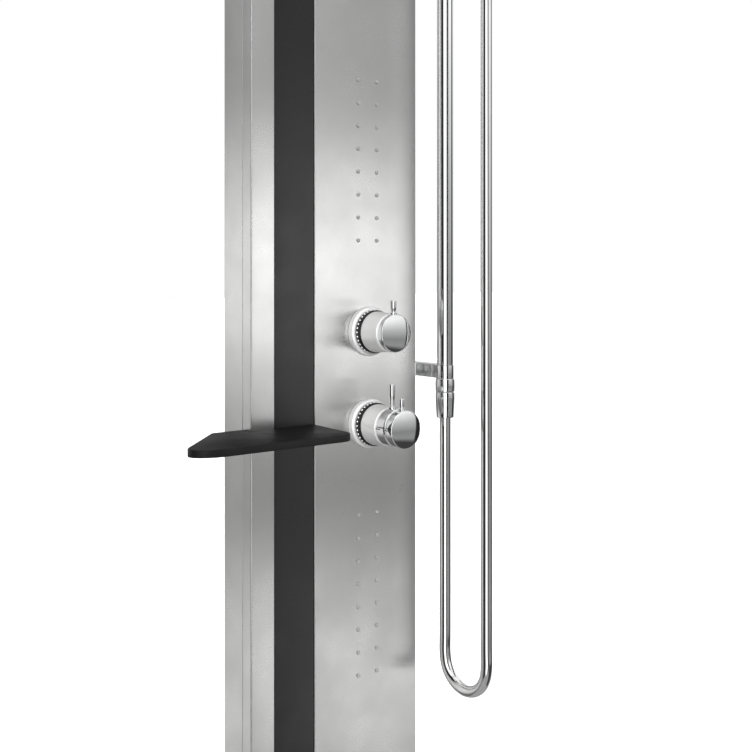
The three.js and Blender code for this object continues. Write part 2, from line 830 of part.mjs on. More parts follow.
// Radius of the hose nut's cone at a height: the cup is bored to the same taper.
function coneRadius(z) {
  return 10.4 + (2 * (z - NUT_BOTTOM)) / 46;
}

function holderCup() {
  const bottom = 714;
  const top = 747;
  const clearance = 0.4;
  const bowl = turned(
    [
      [coneRadius(bottom) + clearance, bottom],
      [15.2, bottom],
      [17.2, bottom + 3],
      [17.2, top - 1.5],
      [16, top],
      [coneRadius(top) + clearance, top],
    ],
  ).translate(RAIL.x, HOSE.legY, 0);
  const lug = join(
    block([RAIL.x - 6.2, RAIL.x + 6.2], [HOSE.legY + 14.5, TILT.y], [TILT.z - 16, TILT.z]),
    onTiltAxis(9, -6.2, 6.2, 20),
  );
  const mouthHalf = HOSE.radius + 0.75;
  const mouthX = [RAIL.x - mouthHalf, RAIL.x + mouthHalf];
  const mouth = block(mouthX, [HOSE.legY - 30, HOSE.legY - 4], [bottom - 10, top + 10]);
  return cut(join(bowl, lug), mouth, onTiltAxis(2.8, -20, 20, 12));
}

function hoseNutUpper() {
  const top = NUT_BOTTOM + 46;
  const bore = HOSE.radius + 0.75;
  return turned(
    [
      [bore, NUT_BOTTOM],
      [coneRadius(NUT_BOTTOM) - 0.6, NUT_BOTTOM],
      [coneRadius(NUT_BOTTOM + 0.8), NUT_BOTTOM + 0.8],
      [coneRadius(top), top],
      [bore, top],
    ],
  ).translate(RAIL.x, HOSE.legY, 0);
}

const HANDSET = {
  handleBottom: 749.3,
  handleRadius: 11.6,
  headZ: 940,
  headY: FACE - 138,
  headRadius: 50,
  faceRadius: 44,
};
const HEAD_TILT = THREE.MathUtils.degToRad(65);

// Places a turned piece of the spray head: its axis leans from straight down to forward.
function onHead(geometry) {
  return geometry.rotateX(-HEAD_TILT).translate(RAIL.x, HANDSET.headY, HANDSET.headZ);
}

function handset() {
  const { handleBottom, handleRadius, headRadius } = HANDSET;
  const handle = tube(
    [
      [RAIL.x, HOSE.legY, handleBottom],
      [RAIL.x, HOSE.legY, 790],
      [RAIL.x, HOSE.legY, 835],
      [RAIL.x, HOSE.legY - 2, 868],
      [RAIL.x, HOSE.legY - 7.5, 900],
      [RAIL.x, HOSE.legY - 16, 926],
      [RAIL.x, HOSE.legY - 27, 945],
    ],
    handleRadius,
    { sides: 16, steps: 12 },
  );
  const collar = turned(
    [
      [0, handleBottom],
      [handleRadius, handleBottom],
      [handleRadius + 1, handleBottom + 1.5],
      [handleRadius + 1, handleBottom + 6],
      [0, handleBottom + 8],
    ],
    20,
  ).translate(RAIL.x, HOSE.legY, 0);
  const head = onHead(
    turned(
      [
        [0, 15],
        [16, 14],
        [34, 10],
        [headRadius - 3, 3.5],
        [headRadius, -1],
        [headRadius, -5],
        [headRadius - 2, -7],
        [headRadius - 5, -7],
        [headRadius - 5, -3.5],
        [0, -3.5],
      ],
      28,
    ),
  );
  const boreRadius = HOSE.radius + 0.75;
  const boreStart = handleBottom - 5;
  const bore = turned([[0, boreStart], [boreRadius, boreStart], [boreRadius, 802], [0, 804]], 16);
  return cut(join(handle, collar, head), bore.translate(RAIL.x, HOSE.legY, 0));
}

function handsetFace() {
  const r = HANDSET.faceRadius;
  return onHead(turned([[0, -3.9], [r, -3.9], [r, -6.6], [r - 1.5, -7.4], [0, -7.8]], 28));
}

// ---------------------------------------------------------------- hose

const HOSE_JOIN = 600;
const HOSE_END = NUT_BOTTOM + HANDSET_LIFT + 3;

// Each point is how far the hose stands in front of the wall, and its height.
const HOSE_LOWER_ROUTE = [
  [85, -54.3],
  [85, -75],
  [85, -120],
  [85, -190],
  [85, -260],
  [85, -320],
  [85, -344],
  [87.8, -358],
  [95.7, -369.9],
  [107.6, -377.8],
  [121.5, -380.6],
  [135.5, -377.8],
  [147.4, -369.9],
  [155.2, -358],
  [158, -344],
  [158, -320],
  [158, -240],
  [158, -120],
  [158, 0],
  [158, 120],
  [158, 240],
  [158, 360],
  [158, 480],
  [158, HOSE_JOIN - GAP],
];

const HOSE_UPPER_ROUTE = [
  [158, HOSE_JOIN],
  [158, 640],
  [158, 680],
  [158, 715],
  [158, HOSE_END],
];

function hose(route, steps) {
  return tube(route.map(([out, z]) => [RAIL.x, -out, z]), HOSE.radius, { sides: 8, steps });
}

// ---------------------------------------------------------------- rain head

function rainArm() {
  const start = FACE + 18;
  const elbow = -ARM.reach + ARM.bend;
  const bend = [0, 22.5, 45, 67.5, 90].map((deg) => {
    const angle = THREE.MathUtils.degToRad(deg);
    return [0, elbow - ARM.bend * Math.sin(angle), ARM.z - ARM.bend + ARM.bend * Math.cos(angle)];
  });
  const bentTo = (z) => [[0, elbow + 4, ARM.z], ...bend, [0, -ARM.reach, z]];
  const pipe = join(
    rod(ARM.radius, [0, start, ARM.z], [0, elbow, ARM.z], 12),
    tube(bentTo(ARM.z - ARM.bend - 8), ARM.radius, { sides: 12, steps: 8 }),
  );
  const pipeBore = join(
    rod(ARM.bore, [0, start + 5, ARM.z], [0, elbow, ARM.z], 8),
    tube(bentTo(ARM.z - ARM.bend - 4), ARM.bore, { sides: 8, steps: 6 }),
  );
  const shoulder = turned([[10, 0], [17, 0], [17, 4], [10, 4]], 20);
  shoulder.rotateX(Math.PI / 2).translate(0, FACE + SHEET + GAP + 4, ARM.z);
  const foot = ARM.z - ARM.bend - 8;
  const collar = turned(
    [
      [0, foot - 6],
      [ARM.radius + 0.6, foot - 6],
      [ARM.radius + 0.6, foot + 3],
      [ARM.bore - 1, foot + 3],
      [0, foot + 2],
    ],
    20,
  );
  const neck = turned([[0, BALL.z], [6, BALL.z], [6, foot - 5], [0, foot - 5]], 16);
  const ball = new THREE.SphereGeometry(BALL.radius, 20, 8).rotateX(Math.PI / 2).translate(0, 0, BALL.z);
  const waterway = rod(3.5, [0, 0, BALL.z - 20], [0, 0, foot + 20], 8);
  const tip = cut(join(collar, neck, ball), waterway).translate(0, -ARM.reach, 0);
  return join(cut(join(pipe, shoulder), pipeBore), tip);
}

function armFlange() {
  const profile = [[ARM.radius + 0.5, GAP], [28, GAP], [28, 3], [25, 6], [ARM.radius + 0.5, 7]];
  return turned(profile).rotateX(Math.PI / 2).translate(0, FACE, ARM.z);
}

// Points of a ball's section, from one latitude to another, as radius and height.
function sphereArc(radius, fromDeg, toDeg, count) {
  return Array.from({ length: count + 1 }, (_, i) => {
    const angle = THREE.MathUtils.degToRad(fromDeg + ((toDeg - fromDeg) * i) / count);
    return [radius * Math.cos(angle), BALL.z + radius * Math.sin(angle)];
  });
}

function overBall(profile, sides) {
  return turned(profile, sides).translate(0, -ARM.reach, 0);
}

function ballSeat() {
  return overBall([...sphereArc(12.5, -58, -16, 2), ...sphereArc(14.4, -16, -58, 2)], 20);
}

function ballNut() {
  const bottom = BALL.z - 1;
  const top = bottom + 11;
  return overBall(
    [
      [15.2, bottom],
      [RAIN.hubRadius, bottom],
      [RAIN.hubRadius, top - 3],
      [RAIN.hubRadius - 3, top],
      [10.4, top],
      ...sphereArc(12.9, 42, 8, 2),
    ],
    20,
  );
}

function rainHead() {
  const { radius, bottom, rimTop, hubRadius } = RAIN;
  const split = BALL.z - 1 - GAP;
  return overBall(
    [
      [15.2, split],
      [hubRadius, split],
      [hubRadius, rimTop + 8],
      [hubRadius + 4, rimTop + 4.5],
      [radius - 6, rimTop],
      [radius - 1, rimTop - 1.5],
      [radius, rimTop - 3.5],
      [radius, bottom],
      [radius - 1.5, bottom],
      [radius - 1.5, rimTop - 3.6],
      [hubRadius - 4, rimTop + 2.4],
      [8, BALL.z - 17],
      ...sphereArc(15.1, -60, -8, 3),
    ],
    30,
  );
}

function rainFace() {
  const r = RAIN.radius - 1.5 - GAP;
  const [low, high] = [RAIN.bottom + 0.4, RAIN.bottom + 2.6];
  return overBall([[0, low], [r, low], [r, high], [0, high]], 30);
}

// ---------------------------------------------------------------- assembly

add("rear_box", rearBox(), steel);
add("front_panel", frontPanel(), steel);
add("black_inlay", blackInlay(), blackGloss);
add("top_cap", endCap(PANEL.top, -1), steel);
add("bottom_cap", endCap(PANEL.bottom, 1), steel);
add("wall_bracket", wallBracket(), zinc);

add("valve_body", valveBody(), brass);
add("inlet_union_hot", inletUnion(-1), brass);
add("inlet_union_cold", inletUnion(1), brass);
add("supply_hose_hot", supplyHoseHot(), braid);
add("supply_hose_cold", supplyHoseCold(), braid);
add("rain_riser", rainRiser(), copper);
add("handset_feed", handsetFeed(), copper);
add("jet_manifold_upper", jetManifold(1), whitePlastic);
add("jet_manifold_lower", jetManifold(-1), whitePlastic);
add("jet_mat_upper", jetMat(1), silicone);
add("jet_mat_lower", jetMat(-1), silicone);

diverterKnob();
mixerKnob();

add("shelf", shelf(), blackMatte);
for (const [side, x] of Object.entries(shelfScrewPlaces())) {
  add(`shelf_screw_${side}`, shelfScrew(x), zinc);
}

add("lower_bracket", lowerBracket(), chrome);
add("lower_bracket_screw", bracketScrew(BRACKET.z), zinc);
add("upper_bracket", upperBracket(), chrome);
add("upper_bracket_screw", bracketScrew(UPPER_BRACKET_Z), zinc);
add("outlet_elbow", outletElbow(), chrome);
add("outlet_nut", outletNut(), chrome);
add("hose_nut_lower", hoseNutLower(), chrome);
add("rail", rail(), chrome);

add("slider", slider(), chrome);
add("slider_knob", sliderKnob(), chrome);
add("tilt_pin", tiltPin(), steel);
add("holder_cup", holderCup(), chrome);
add("hose_nut_upper", hoseNutUpper(), chrome);
add("handset", handset(), chrome);
add("handset_face", handsetFace(), silicone);
add("hose_lower", hose(HOSE_LOWER_ROUTE, 72), chrome);
add("hose_upper", hose(HOSE_UPPER_ROUTE, 6), chrome);

add("rain_arm", rainArm(), chrome);
add("arm_flange", armFlange(), chrome);
add("ball_seat", ballSeat(), rubber);
add("ball_nut", ballNut(), chrome);
add("rain_head", rainHead(), steel);
add("rain_face", rainFace(), steel);

export default group;
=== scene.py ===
import math

import bmesh
import bpy
from mathutils import Matrix, Vector


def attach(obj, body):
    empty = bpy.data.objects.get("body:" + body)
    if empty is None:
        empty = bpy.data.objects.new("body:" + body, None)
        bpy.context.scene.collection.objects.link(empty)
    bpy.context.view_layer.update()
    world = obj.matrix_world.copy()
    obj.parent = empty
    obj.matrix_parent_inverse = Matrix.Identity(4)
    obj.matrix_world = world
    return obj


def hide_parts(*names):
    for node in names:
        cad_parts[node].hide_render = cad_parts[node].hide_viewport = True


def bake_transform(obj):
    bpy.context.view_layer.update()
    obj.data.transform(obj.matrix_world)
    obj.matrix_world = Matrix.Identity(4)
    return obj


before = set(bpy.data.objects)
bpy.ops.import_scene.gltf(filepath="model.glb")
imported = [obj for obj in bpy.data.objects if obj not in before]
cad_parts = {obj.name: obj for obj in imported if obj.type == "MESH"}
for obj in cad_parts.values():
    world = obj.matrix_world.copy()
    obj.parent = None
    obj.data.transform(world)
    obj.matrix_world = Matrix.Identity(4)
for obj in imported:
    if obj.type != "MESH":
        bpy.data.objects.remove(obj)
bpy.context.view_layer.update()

MM = 0.001

# Millimetres, in the row frame: X across the panel, Y into the wall, Z up.
FACE = -58.0
SEAM = -40.0
HALF_WIDTH = 120.0
SHEET = 1.5
BOTTOM, TOP = -520.0, 1100.0
INLAY_X, INLAY_HALF = -61.5, 27.5
CONTROL_X, DIVERTER_Z, MIXER_Z = 44.0, 55.0, -55.0
JET_COLUMNS, JET_ROWS, JET_FIRST, JET_PITCH = (30.0, 58.0), 8, 163.6, 27.3
RAIL_X, RAIL_Y = 144.5, -85.0
HOSE_RADIUS, HOSE_Y = 6.85, -158.0
BRACKET_Z, UPPER_BRACKET_Z, BRACKET_HALF, BRACKET_JOINT = 2.7, 948.2, 8.2, -69.0
SLIDER_Z = 745.0
TILT_Y = -120.0
ARM_Z, ARM_REACH, ARM_RADIUS, ARM_BEND = 1050.0, 438.0, 11.0, 38.0
BALL_Z, BALL_RADIUS = 982.0, 12.0
RAIN_BOTTOM, RAIN_RIM = 950.0, 959.0
SHELF_TOP, SHELF_THICKNESS = -50.0, 8.0

# ------------------------------------------------------------------ camera

CAMERA_AT = Vector((-0.799, -1.134, 0.140))
CAMERA_TURN = math.radians(38.5)

camera = bpy.data.objects.new("camera", bpy.data.cameras.new("camera"))
camera.data.lens = 54.6
camera.data.sensor_width = 36
camera.data.shift_y = -0.154
camera.data.clip_start = 0.01
camera.location = CAMERA_AT
camera.rotation_euler = (math.radians(90), 0, -CAMERA_TURN)
bpy.context.scene.collection.objects.link(camera)
bpy.context.scene.camera = camera


# ------------------------------------------------------------------ node helpers

class Tree:
    """Builds a node tree: each call adds one node and returns its first output."""

    def __init__(self, tree):
        self.tree = tree
        tree.nodes.clear()

    def node(self, kind, settings=None, **inputs):
        made = self.tree.nodes.new(kind)
        for key, value in (settings or {}).items():
            setattr(made, key, value)
        for key, value in inputs.items():
            by_number = key[0] == "i" and key[1:].isdigit()
            socket = made.inputs[int(key[1:]) if by_number else key.replace("_", " ")]
            if isinstance(value, bpy.types.NodeSocket):
                self.tree.links.new(value, socket)
            else:
                socket.default_value = value
        return made

    def math(self, operation, *values, clamp=False):
        inputs = {f"i{n}": value for n, value in enumerate(values)}
        return self.node("ShaderNodeMath", {"operation": operation, "use_clamp": clamp}, **inputs).outputs[0]

    def span(self, value, low, high, to_low=0.0, to_high=1.0, smooth=True):
        kind = "SMOOTHSTEP" if smooth else "LINEAR"
        return self.node(
            "ShaderNodeMapRange", {"interpolation_type": kind},
            i0=value, i1=low, i2=high, i3=to_low, i4=to_high,
        ).outputs[0]

    def ramp(self, value, stops, interpolation="LINEAR"):
        made = self.node("ShaderNodeValToRGB", None, i0=value)
        made.color_ramp.interpolation = interpolation
        elements = made.color_ramp.elements
        while len(elements) < len(stops):
            elements.new(0.5)
        for element, (at, level) in zip(elements, stops):
            element.position = at
            colour = level if isinstance(level, (tuple, list)) else (level,) * 3
            element.color = (*colour, 1)
        return made.outputs[0]

    def noise(self, where, scale, detail=3.0, roughness=0.5):
        return self.node(
            "ShaderNodeTexNoise", None, Vector=where, Scale=scale, Detail=detail, Roughness=roughness
        ).outputs[0]

    def stretched(self, where, scale):
        return self.node("ShaderNodeMapping", None, Vector=where, Scale=scale).outputs[0]

    def mix(self, share, a, b):
        made = self.node("ShaderNodeMix", {"data_type": "RGBA"}, i0=share, i6=a, i7=b)
        return made.outputs[2]


def grey(level, tint=(1.0, 1.0, 1.0)):
    return (level * tint[0], level * tint[1], level * tint[2], 1.0)


# ------------------------------------------------------------------ materials

def finish_of(
    name,
    light,
    dark,
    metallic,
    rough=(0.2, 0.3),
    patch=25.0,
    grain=900.0,
    stretch=(1.0, 1.0, 1.0),
    bump=0.02,
    bump_distance=0.0002,
    coat=0.0,
    specular=0.5,
    brushed=0.0,
):
    """One procedural finish: patches and grain vary its colour and gloss, and the grain is also a bump."""
    made = bpy.data.materials.new(name)
    made.use_nodes = True
    t = Tree(made.node_tree)
    where = t.node("ShaderNodeTexCoord").outputs["Object"]
    lines = t.stretched(where, stretch)
    patches = t.noise(where, patch, 4.0, 0.55)
    grains = t.noise(lines, grain, 4.0, 0.6)
    blend = t.math("ADD", t.math("MULTIPLY", patches, 0.5), t.math("MULTIPLY", grains, 0.5))
    colour = t.mix(t.span(blend, 0.36, 0.64), dark, light)
    roughness = t.span(blend, 0.34, 0.66, rough[1], rough[0])
    normal = t.node(
        "ShaderNodeBump", None, Strength=bump, Distance=bump_distance, Height=grains
    ).outputs[0]
    shader = t.node("ShaderNodeBsdfPrincipled", None, Roughness=roughness, Normal=normal)
    t.tree.links.new(colour, shader.inputs["Base Color"])
    shader.inputs["Metallic"].default_value = metallic
    shader.inputs["Coat Weight"].default_value = coat
    shader.inputs["Coat Roughness"].default_value = 0.06
    shader.inputs["Specular IOR Level"].default_value = specular
    if brushed:
        shader.inputs["Anisotropic"].default_value = brushed
        along = t.node("ShaderNodeTangent", {"direction_type": "RADIAL", "axis": "Z"})
        t.tree.links.new(along.outputs[0], shader.inputs["Tangent"])
    output = t.node("ShaderNodeOutputMaterial")
    t.tree.links.new(shader.outputs[0], output.inputs["Surface"])
    return made


STEEL = finish_of(
    "brushed steel", grey(0.44, (1, 1, 0.995)), grey(0.405, (1, 1, 0.99)), 1.0, (0.27, 0.33),
    patch=14.0, grain=1400.0, stretch=(1.0, 1.0, 0.5), bump=0.04, bump_distance=0.00003, brushed=0.9,
)
ROUND_STEEL = finish_of(
    "turned steel", grey(0.70, (1, 1, 0.995)), grey(0.62, (1, 1, 0.99)), 1.0, (0.24, 0.32),
    patch=12.0, grain=800.0, bump=0.10, bump_distance=0.00008,
)
CHROME = finish_of(
    "chrome", grey(0.93, (0.995, 1, 1)), grey(0.88, (0.99, 1, 1)), 1.0, (0.02, 0.045),
    patch=18.0, grain=60.0, bump=0.03, bump_distance=0.0002,
)
HOSE_CHROME = finish_of(
    "chromed hose", grey(0.92), grey(0.85), 1.0, (0.025, 0.06),
    patch=25.0, grain=400.0, stretch=(1.0, 1.0, 0.2), bump=0.03, bump_distance=0.00008,
)
PLASTIC_CHROME = finish_of(
    "chromed plastic", grey(0.90, (0.995, 1, 1)), grey(0.84), 1.0, (0.05, 0.10),
    patch=20.0, grain=120.0, bump=0.05, bump_distance=0.0003,
)
SATIN = finish_of(
    "satin chrome", grey(0.90), grey(0.86, (1, 1, 0.99)), 0.4, (0.34, 0.44),
    patch=30.0, grain=1500.0, bump=0.12, bump_distance=0.00006,
)
ACRYLIC = finish_of(
    "black acrylic", grey(0.007), grey(0.005), 0.0, (0.26, 0.34),
    patch=22.0, grain=1200.0, bump=0.08, bump_distance=0.00005, specular=0.3,
)
RESIN = finish_of(
    "black resin", grey(0.010), grey(0.007), 0.0, (0.44, 0.56),
    patch=20.0, grain=1600.0, bump=0.25, bump_distance=0.0001, specular=0.16,
)
TRIM = finish_of(
    "black trim", grey(0.012), grey(0.006), 0.0, (0.22, 0.35),
    patch=40.0, grain=1500.0, bump=0.1, bump_distance=0.00005,
)
SILICONE = finish_of(
    "grey silicone", grey(0.74, (1, 1, 0.98)), grey(0.66, (1, 1, 0.98)), 0.0, (0.48, 0.62),
    patch=60.0, grain=1800.0, bump=0.15, bump_distance=0.00005, specular=0.4,
)
RUBBER = finish_of(
    "black rubber", grey(0.03), grey(0.018), 0.0, (0.6, 0.8),
    patch=60.0, grain=1800.0, bump=0.3, bump_distance=0.0001, specular=0.3,
)
BRASS = finish_of(
    "brass", (0.78, 0.58, 0.28, 1), (0.62, 0.43, 0.18, 1), 1.0, (0.28, 0.45),
    patch=30.0, grain=600.0, bump=0.25, bump_distance=0.0002,
)
COPPER = finish_of(
    "copper", (0.78, 0.42, 0.28, 1), (0.58, 0.29, 0.18, 1), 1.0, (0.25, 0.42),
    patch=22.0, grain=500.0, bump=0.15, bump_distance=0.0001,
)
ZINC = finish_of(
    "zinc plate", (0.66, 0.68, 0.70, 1), (0.50, 0.52, 0.56, 1), 1.0, (0.32, 0.5),
    patch=70.0, grain=900.0, bump=0.2, bump_distance=0.0001,
)
WHITE = finish_of(
    "white plastic", grey(0.78, (1, 0.99, 0.95)), grey(0.68, (1, 0.985, 0.94)), 0.0, (0.4, 0.55),
    patch=40.0, grain=1000.0, bump=0.1, bump_distance=0.0001,
)
BRAID = finish_of(
    "steel braid", grey(0.66), grey(0.40), 1.0, (0.3, 0.5),
    patch=120.0, grain=1400.0, bump=0.8, bump_distance=0.0004,
)

CAD_FINISH = {
    "ball_seat": RUBBER,
    "top_cap": STEEL,
    "bottom_cap": STEEL,
    "wall_bracket": ZINC,
    "valve_body": BRASS,
    "inlet_union_hot": BRASS,
    "inlet_union_cold": BRASS,
    "supply_hose_hot": BRAID,
    "supply_hose_cold": BRAID,
    "rain_riser": COPPER,
    "handset_feed": COPPER,
    "jet_manifold_upper": WHITE,
    "jet_manifold_lower": WHITE,
    "diverter_cartridge": WHITE,
    "mixer_cartridge": WHITE,
    "diverter_spindle": BRASS,
    "temperature_spindle": BRASS,
    "flow_sleeve": BRASS,
    "shelf_screw_left": ZINC,
    "shelf_screw_right": ZINC,
    "lower_bracket_screw": ZINC,
    "upper_bracket_screw": ZINC,
}


# ------------------------------------------------------------------ mesh helpers

def fillet(corners, count=5, closed=True):
    """A 2D outline with round corners. Each corner is (x, y) or (x, y, radius)."""
    points = []
    total = len(corners)
    for n, corner in enumerate(corners):
        here = Vector(corner[:2])
        radius = corner[2] if len(corner) > 2 else 0.0
        end = not closed and n in (0, total - 1)
        if radius <= 0 or end:
            points.append(here)
            continue
        before = Vector(corners[n - 1][:2]) - here
        after = Vector(corners[(n + 1) % total][:2]) - here
        u, v = before.normalized(), after.normalized()
        angle = math.acos(max(-1.0, min(1.0, u.dot(v))))
        if angle > math.radians(179):
            points.append(here)
            continue
        reach = min(radius / math.tan(angle / 2), 0.49 * min(before.length, after.length))
        round_by = reach * math.tan(angle / 2)
        centre = here + (u + v).normalized() * (round_by / math.sin(angle / 2))
        first, last = here + u * reach - centre, here + v * reach - centre
        sweep = math.acos(max(-1.0, min(1.0, first.normalized().dot(last.normalized()))))
        side = 1 if first.x * last.y - first.y * last.x > 0 else -1
        for k in range(count + 1):
            points.append(centre + Matrix.Rotation(side * sweep * k / count, 2) @ first)
    return points


def lathe(profile, sides=96, closed=False, into=None):
    """A form turned about +Z from (radius, height) points: a ring if closed, else one ending on the axis."""
    bm = into or bmesh.new()
    rings = []
    for radius, height in profile:
        if radius < 1e-6:
            rings.append([bm.verts.new((0, 0, height))])
            continue
        turn = [2 * math.pi * k / sides for k in range(sides)]
        rings.append([bm.verts.new((radius * math.cos(a), radius * math.sin(a), height)) for a in turn])
    pairs = list(zip(rings, rings[1:])) + ([(rings[-1], rings[0])] if closed else [])
    for low, high in pairs:
        for k in range(sides):
            a, b = low[k % len(low)], low[(k + 1) % sides % len(low)]
            c, d = high[(k + 1) % sides % len(high)], high[k % len(high)]
            corners = list(dict.fromkeys((a, b, c, d)))
            if len(corners) > 2:
                bm.faces.new(corners)
    return bm


def turned(profile, sides=96, count=5, closed=False):
    return lathe(fillet(profile, count, closed), sides, closed)


def outline_block(outline, low, high, into=None):
    """A flat outline raised from one height to another."""
    bm = into or bmesh.new()
    bottom = [bm.verts.new((x, y, low)) for x, y in outline]
    top = [bm.verts.new((x, y, high)) for x, y in outline]
    bm.faces.new(bottom)
    bm.faces.new(top)
    for k in range(len(outline)):
        n = (k + 1) % len(outline)
        bm.faces.new((bottom[k], bottom[n], top[n], top[k]))
    return bm


def box(x, y, z, into=None):
    return outline_block([(x[0], y[0]), (x[1], y[0]), (x[1], y[1]), (x[0], y[1])], z[0], z[1], into)


def smooth_line(points, per_span):
    """A centripetal Catmull-Rom curve through the points."""
    points = [Vector(p) for p in points]
    line = []
    for n in range(len(points) - 1):
        p1, p2 = points[n], points[n + 1]
        p0 = points[n - 1] if n else p1 * 2 - p2
        p3 = points[n + 2] if n + 2 < len(points) else p2 * 2 - p1
        t1 = math.sqrt((p1 - p0).length)
        t2 = t1 + math.sqrt((p2 - p1).length)
        t3 = t2 + math.sqrt((p3 - p2).length)
        for k in range(per_span):
            t = t1 + (t2 - t1) * k / per_span
            a1 = p0 * ((t1 - t) / t1) + p1 * (t / t1)
            a2 = p1 * ((t2 - t) / (t2 - t1)) + p2 * ((t - t1) / (t2 - t1))
            a3 = p2 * ((t3 - t) / (t3 - t2)) + p3 * ((t - t2) / (t3 - t2))
            b1 = a1 * ((t2 - t) / t2) + a2 * (t / t2)
            b2 = a2 * ((t3 - t) / (t3 - t1)) + a3 * ((t - t1) / (t3 - t1))
            line.append(b1 * ((t2 - t) / (t2 - t1)) + b2 * ((t - t1) / (t2 - t1)))
    line.append(points[-1])
    return line


def sweep(line, radii, sides=48, into=None):
    """A round tube along a line of points, closed at both ends."""
    bm = into or bmesh.new()
    line = [Vector(p) for p in line]
    radii = radii if isinstance(radii, (list, tuple)) else [radii] * len(line)
    side = None
    rings = []
    for n, point in enumerate(line):
        along = (line[min(n + 1, len(line) - 1)] - line[max(n - 1, 0)]).normalized()
        if side is None:
            side = along.orthogonal().normalized()
        side = (side - along * side.dot(along)).normalized()
        other = along.cross(side)
        turn = [2 * math.pi * k / sides for k in range(sides)]
        rings.append(
            [bm.verts.new(point + (side * math.cos(a) + other * math.sin(a)) * radii[n]) for a in turn]
        )
    for low, high in zip(rings, rings[1:]):
        for k in range(sides):
            bm.faces.new((low[k], low[(k + 1) % sides], high[(k + 1) % sides], high[k]))
    bm.faces.new(rings[0])
    bm.faces.new(rings[-1])
    return bm


def to_object(name, bm, placement=None):
    """The millimetre form as an object in metres, at its place in the row frame."""
    bmesh.ops.recalc_face_normals(bm, faces=bm.faces)
    if placement is not None:
        bm.transform(placement)
    bm.transform(Matrix.Scale(MM, 4))
    mesh = bpy.data.meshes.new(name)
    bm.to_mesh(mesh)
    bm.free()
    made = bpy.data.objects.new(name, mesh)
    bpy.context.scene.collection.objects.link(made)
    return made


def settle(obj):
    """Applies an object's modifiers to its mesh."""
    bpy.context.view_layer.update()
    seen = obj.evaluated_get(bpy.context.evaluated_depsgraph_get())
    mesh = bpy.data.meshes.new_from_object(seen)
    obj.modifiers.clear()
    old = obj.data
    obj.data = mesh
    bpy.data.meshes.remove(old)
    return obj


def shade(obj, angle=32):
    obj.data.polygons.foreach_set("use_smooth", [True] * len(obj.data.polygons))
    obj.data.set_sharp_from_angle(angle=math.radians(angle))
    return obj


def combine(obj, tool, operation="DIFFERENCE"):
    """Cuts tool out of obj, or joins it on."""
    change = obj.modifiers.new("combine", "BOOLEAN")
    change.operation = operation
    change.solver = "EXACT"
    change.object = tool
    settle(obj)
    bpy.data.objects.remove(tool)
    return obj


def soften(obj, width, segments=3, angle=30):
    change = obj.modifiers.new("soften", "BEVEL")
    change.width = width * MM
    change.segments = segments
    change.limit_method = "ANGLE"
    change.angle_limit = math.radians(angle)
    change.use_clamp_overlap = True
    return settle(obj)


def dress(obj, finish, body, nodes=(), angle=32):
    """Finishes a piece, sets it on its body and lets it stand for its CAD nodes."""
    obj.data.materials.clear()
    obj.data.materials.append(finish)
    shade(obj, angle)
    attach(obj, body)
    if nodes:
        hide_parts(*nodes)
    return obj


def at(x, y, z):
    return Matrix.Translation((x, y, z))


def out_of_panel(z):
    """Stands a turned form on the panel's face at a control, its axis out of the panel."""
    return at(CONTROL_X, FACE, z) @ Matrix.Rotation(math.radians(90), 4, "X")


def across(x, y, z):
    """Turns a form's axis to run along +X."""
    return at(x, y, z) @ Matrix.Rotation(math.radians(90), 4, "Y")


def pin(radius, start, end, sides=32, into=None):
    return sweep([start, end], radius, sides, into)


# ------------------------------------------------------------------ hoses

# Millimetres in front of the wall, and height.
HOSE_LOWER_ROUTE = [
    (85, -54.3), (85, -75), (85, -120), (85, -190), (85, -260), (85, -320), (85, -344),
    (87.8, -358), (95.7, -369.9), (107.6, -377.8), (121.5, -380.6), (135.5, -377.8), (147.4, -369.9),
    (155.2, -358), (158, -344), (158, -320), (158, -240), (158, -120), (158, 0), (158, 120),
    (158, 240), (158, 360), (158, 480), (158, 599.7),
]
HOSE_UPPER_ROUTE = [(158, 600), (158, 640), (158, 680), (158, 715), (158, 751)]


def hose(name, route, node, per_span):
    line = smooth_line([(RAIL_X, -out, z) for out, z in route], per_span)
    made = to_object(name, sweep(line, HOSE_RADIUS, 40))
    made.data.materials.append(HOSE_CHROME)
    shade(made)
    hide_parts(node)
    return made, [tuple(p * MM) for p in line]


lower_hose, lower_path = hose("hose_lower_tube", HOSE_LOWER_ROUTE, "hose_lower", 10)
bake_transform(lower_hose)

upper_hose, upper_path = hose("hose_upper_tube", HOSE_UPPER_ROUTE, "hose_upper", 6)
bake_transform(upper_hose)

# ------------------------------------------------------------------ panel

SLOT_FLOOR = FACE + 3.5
INLAY_FACE = FACE + 1.2
GAP = 0.3


def jet_places(side):
    return [(x, side * (JET_FIRST + row * JET_PITCH)) for x in JET_COLUMNS for row in range(JET_ROWS)]


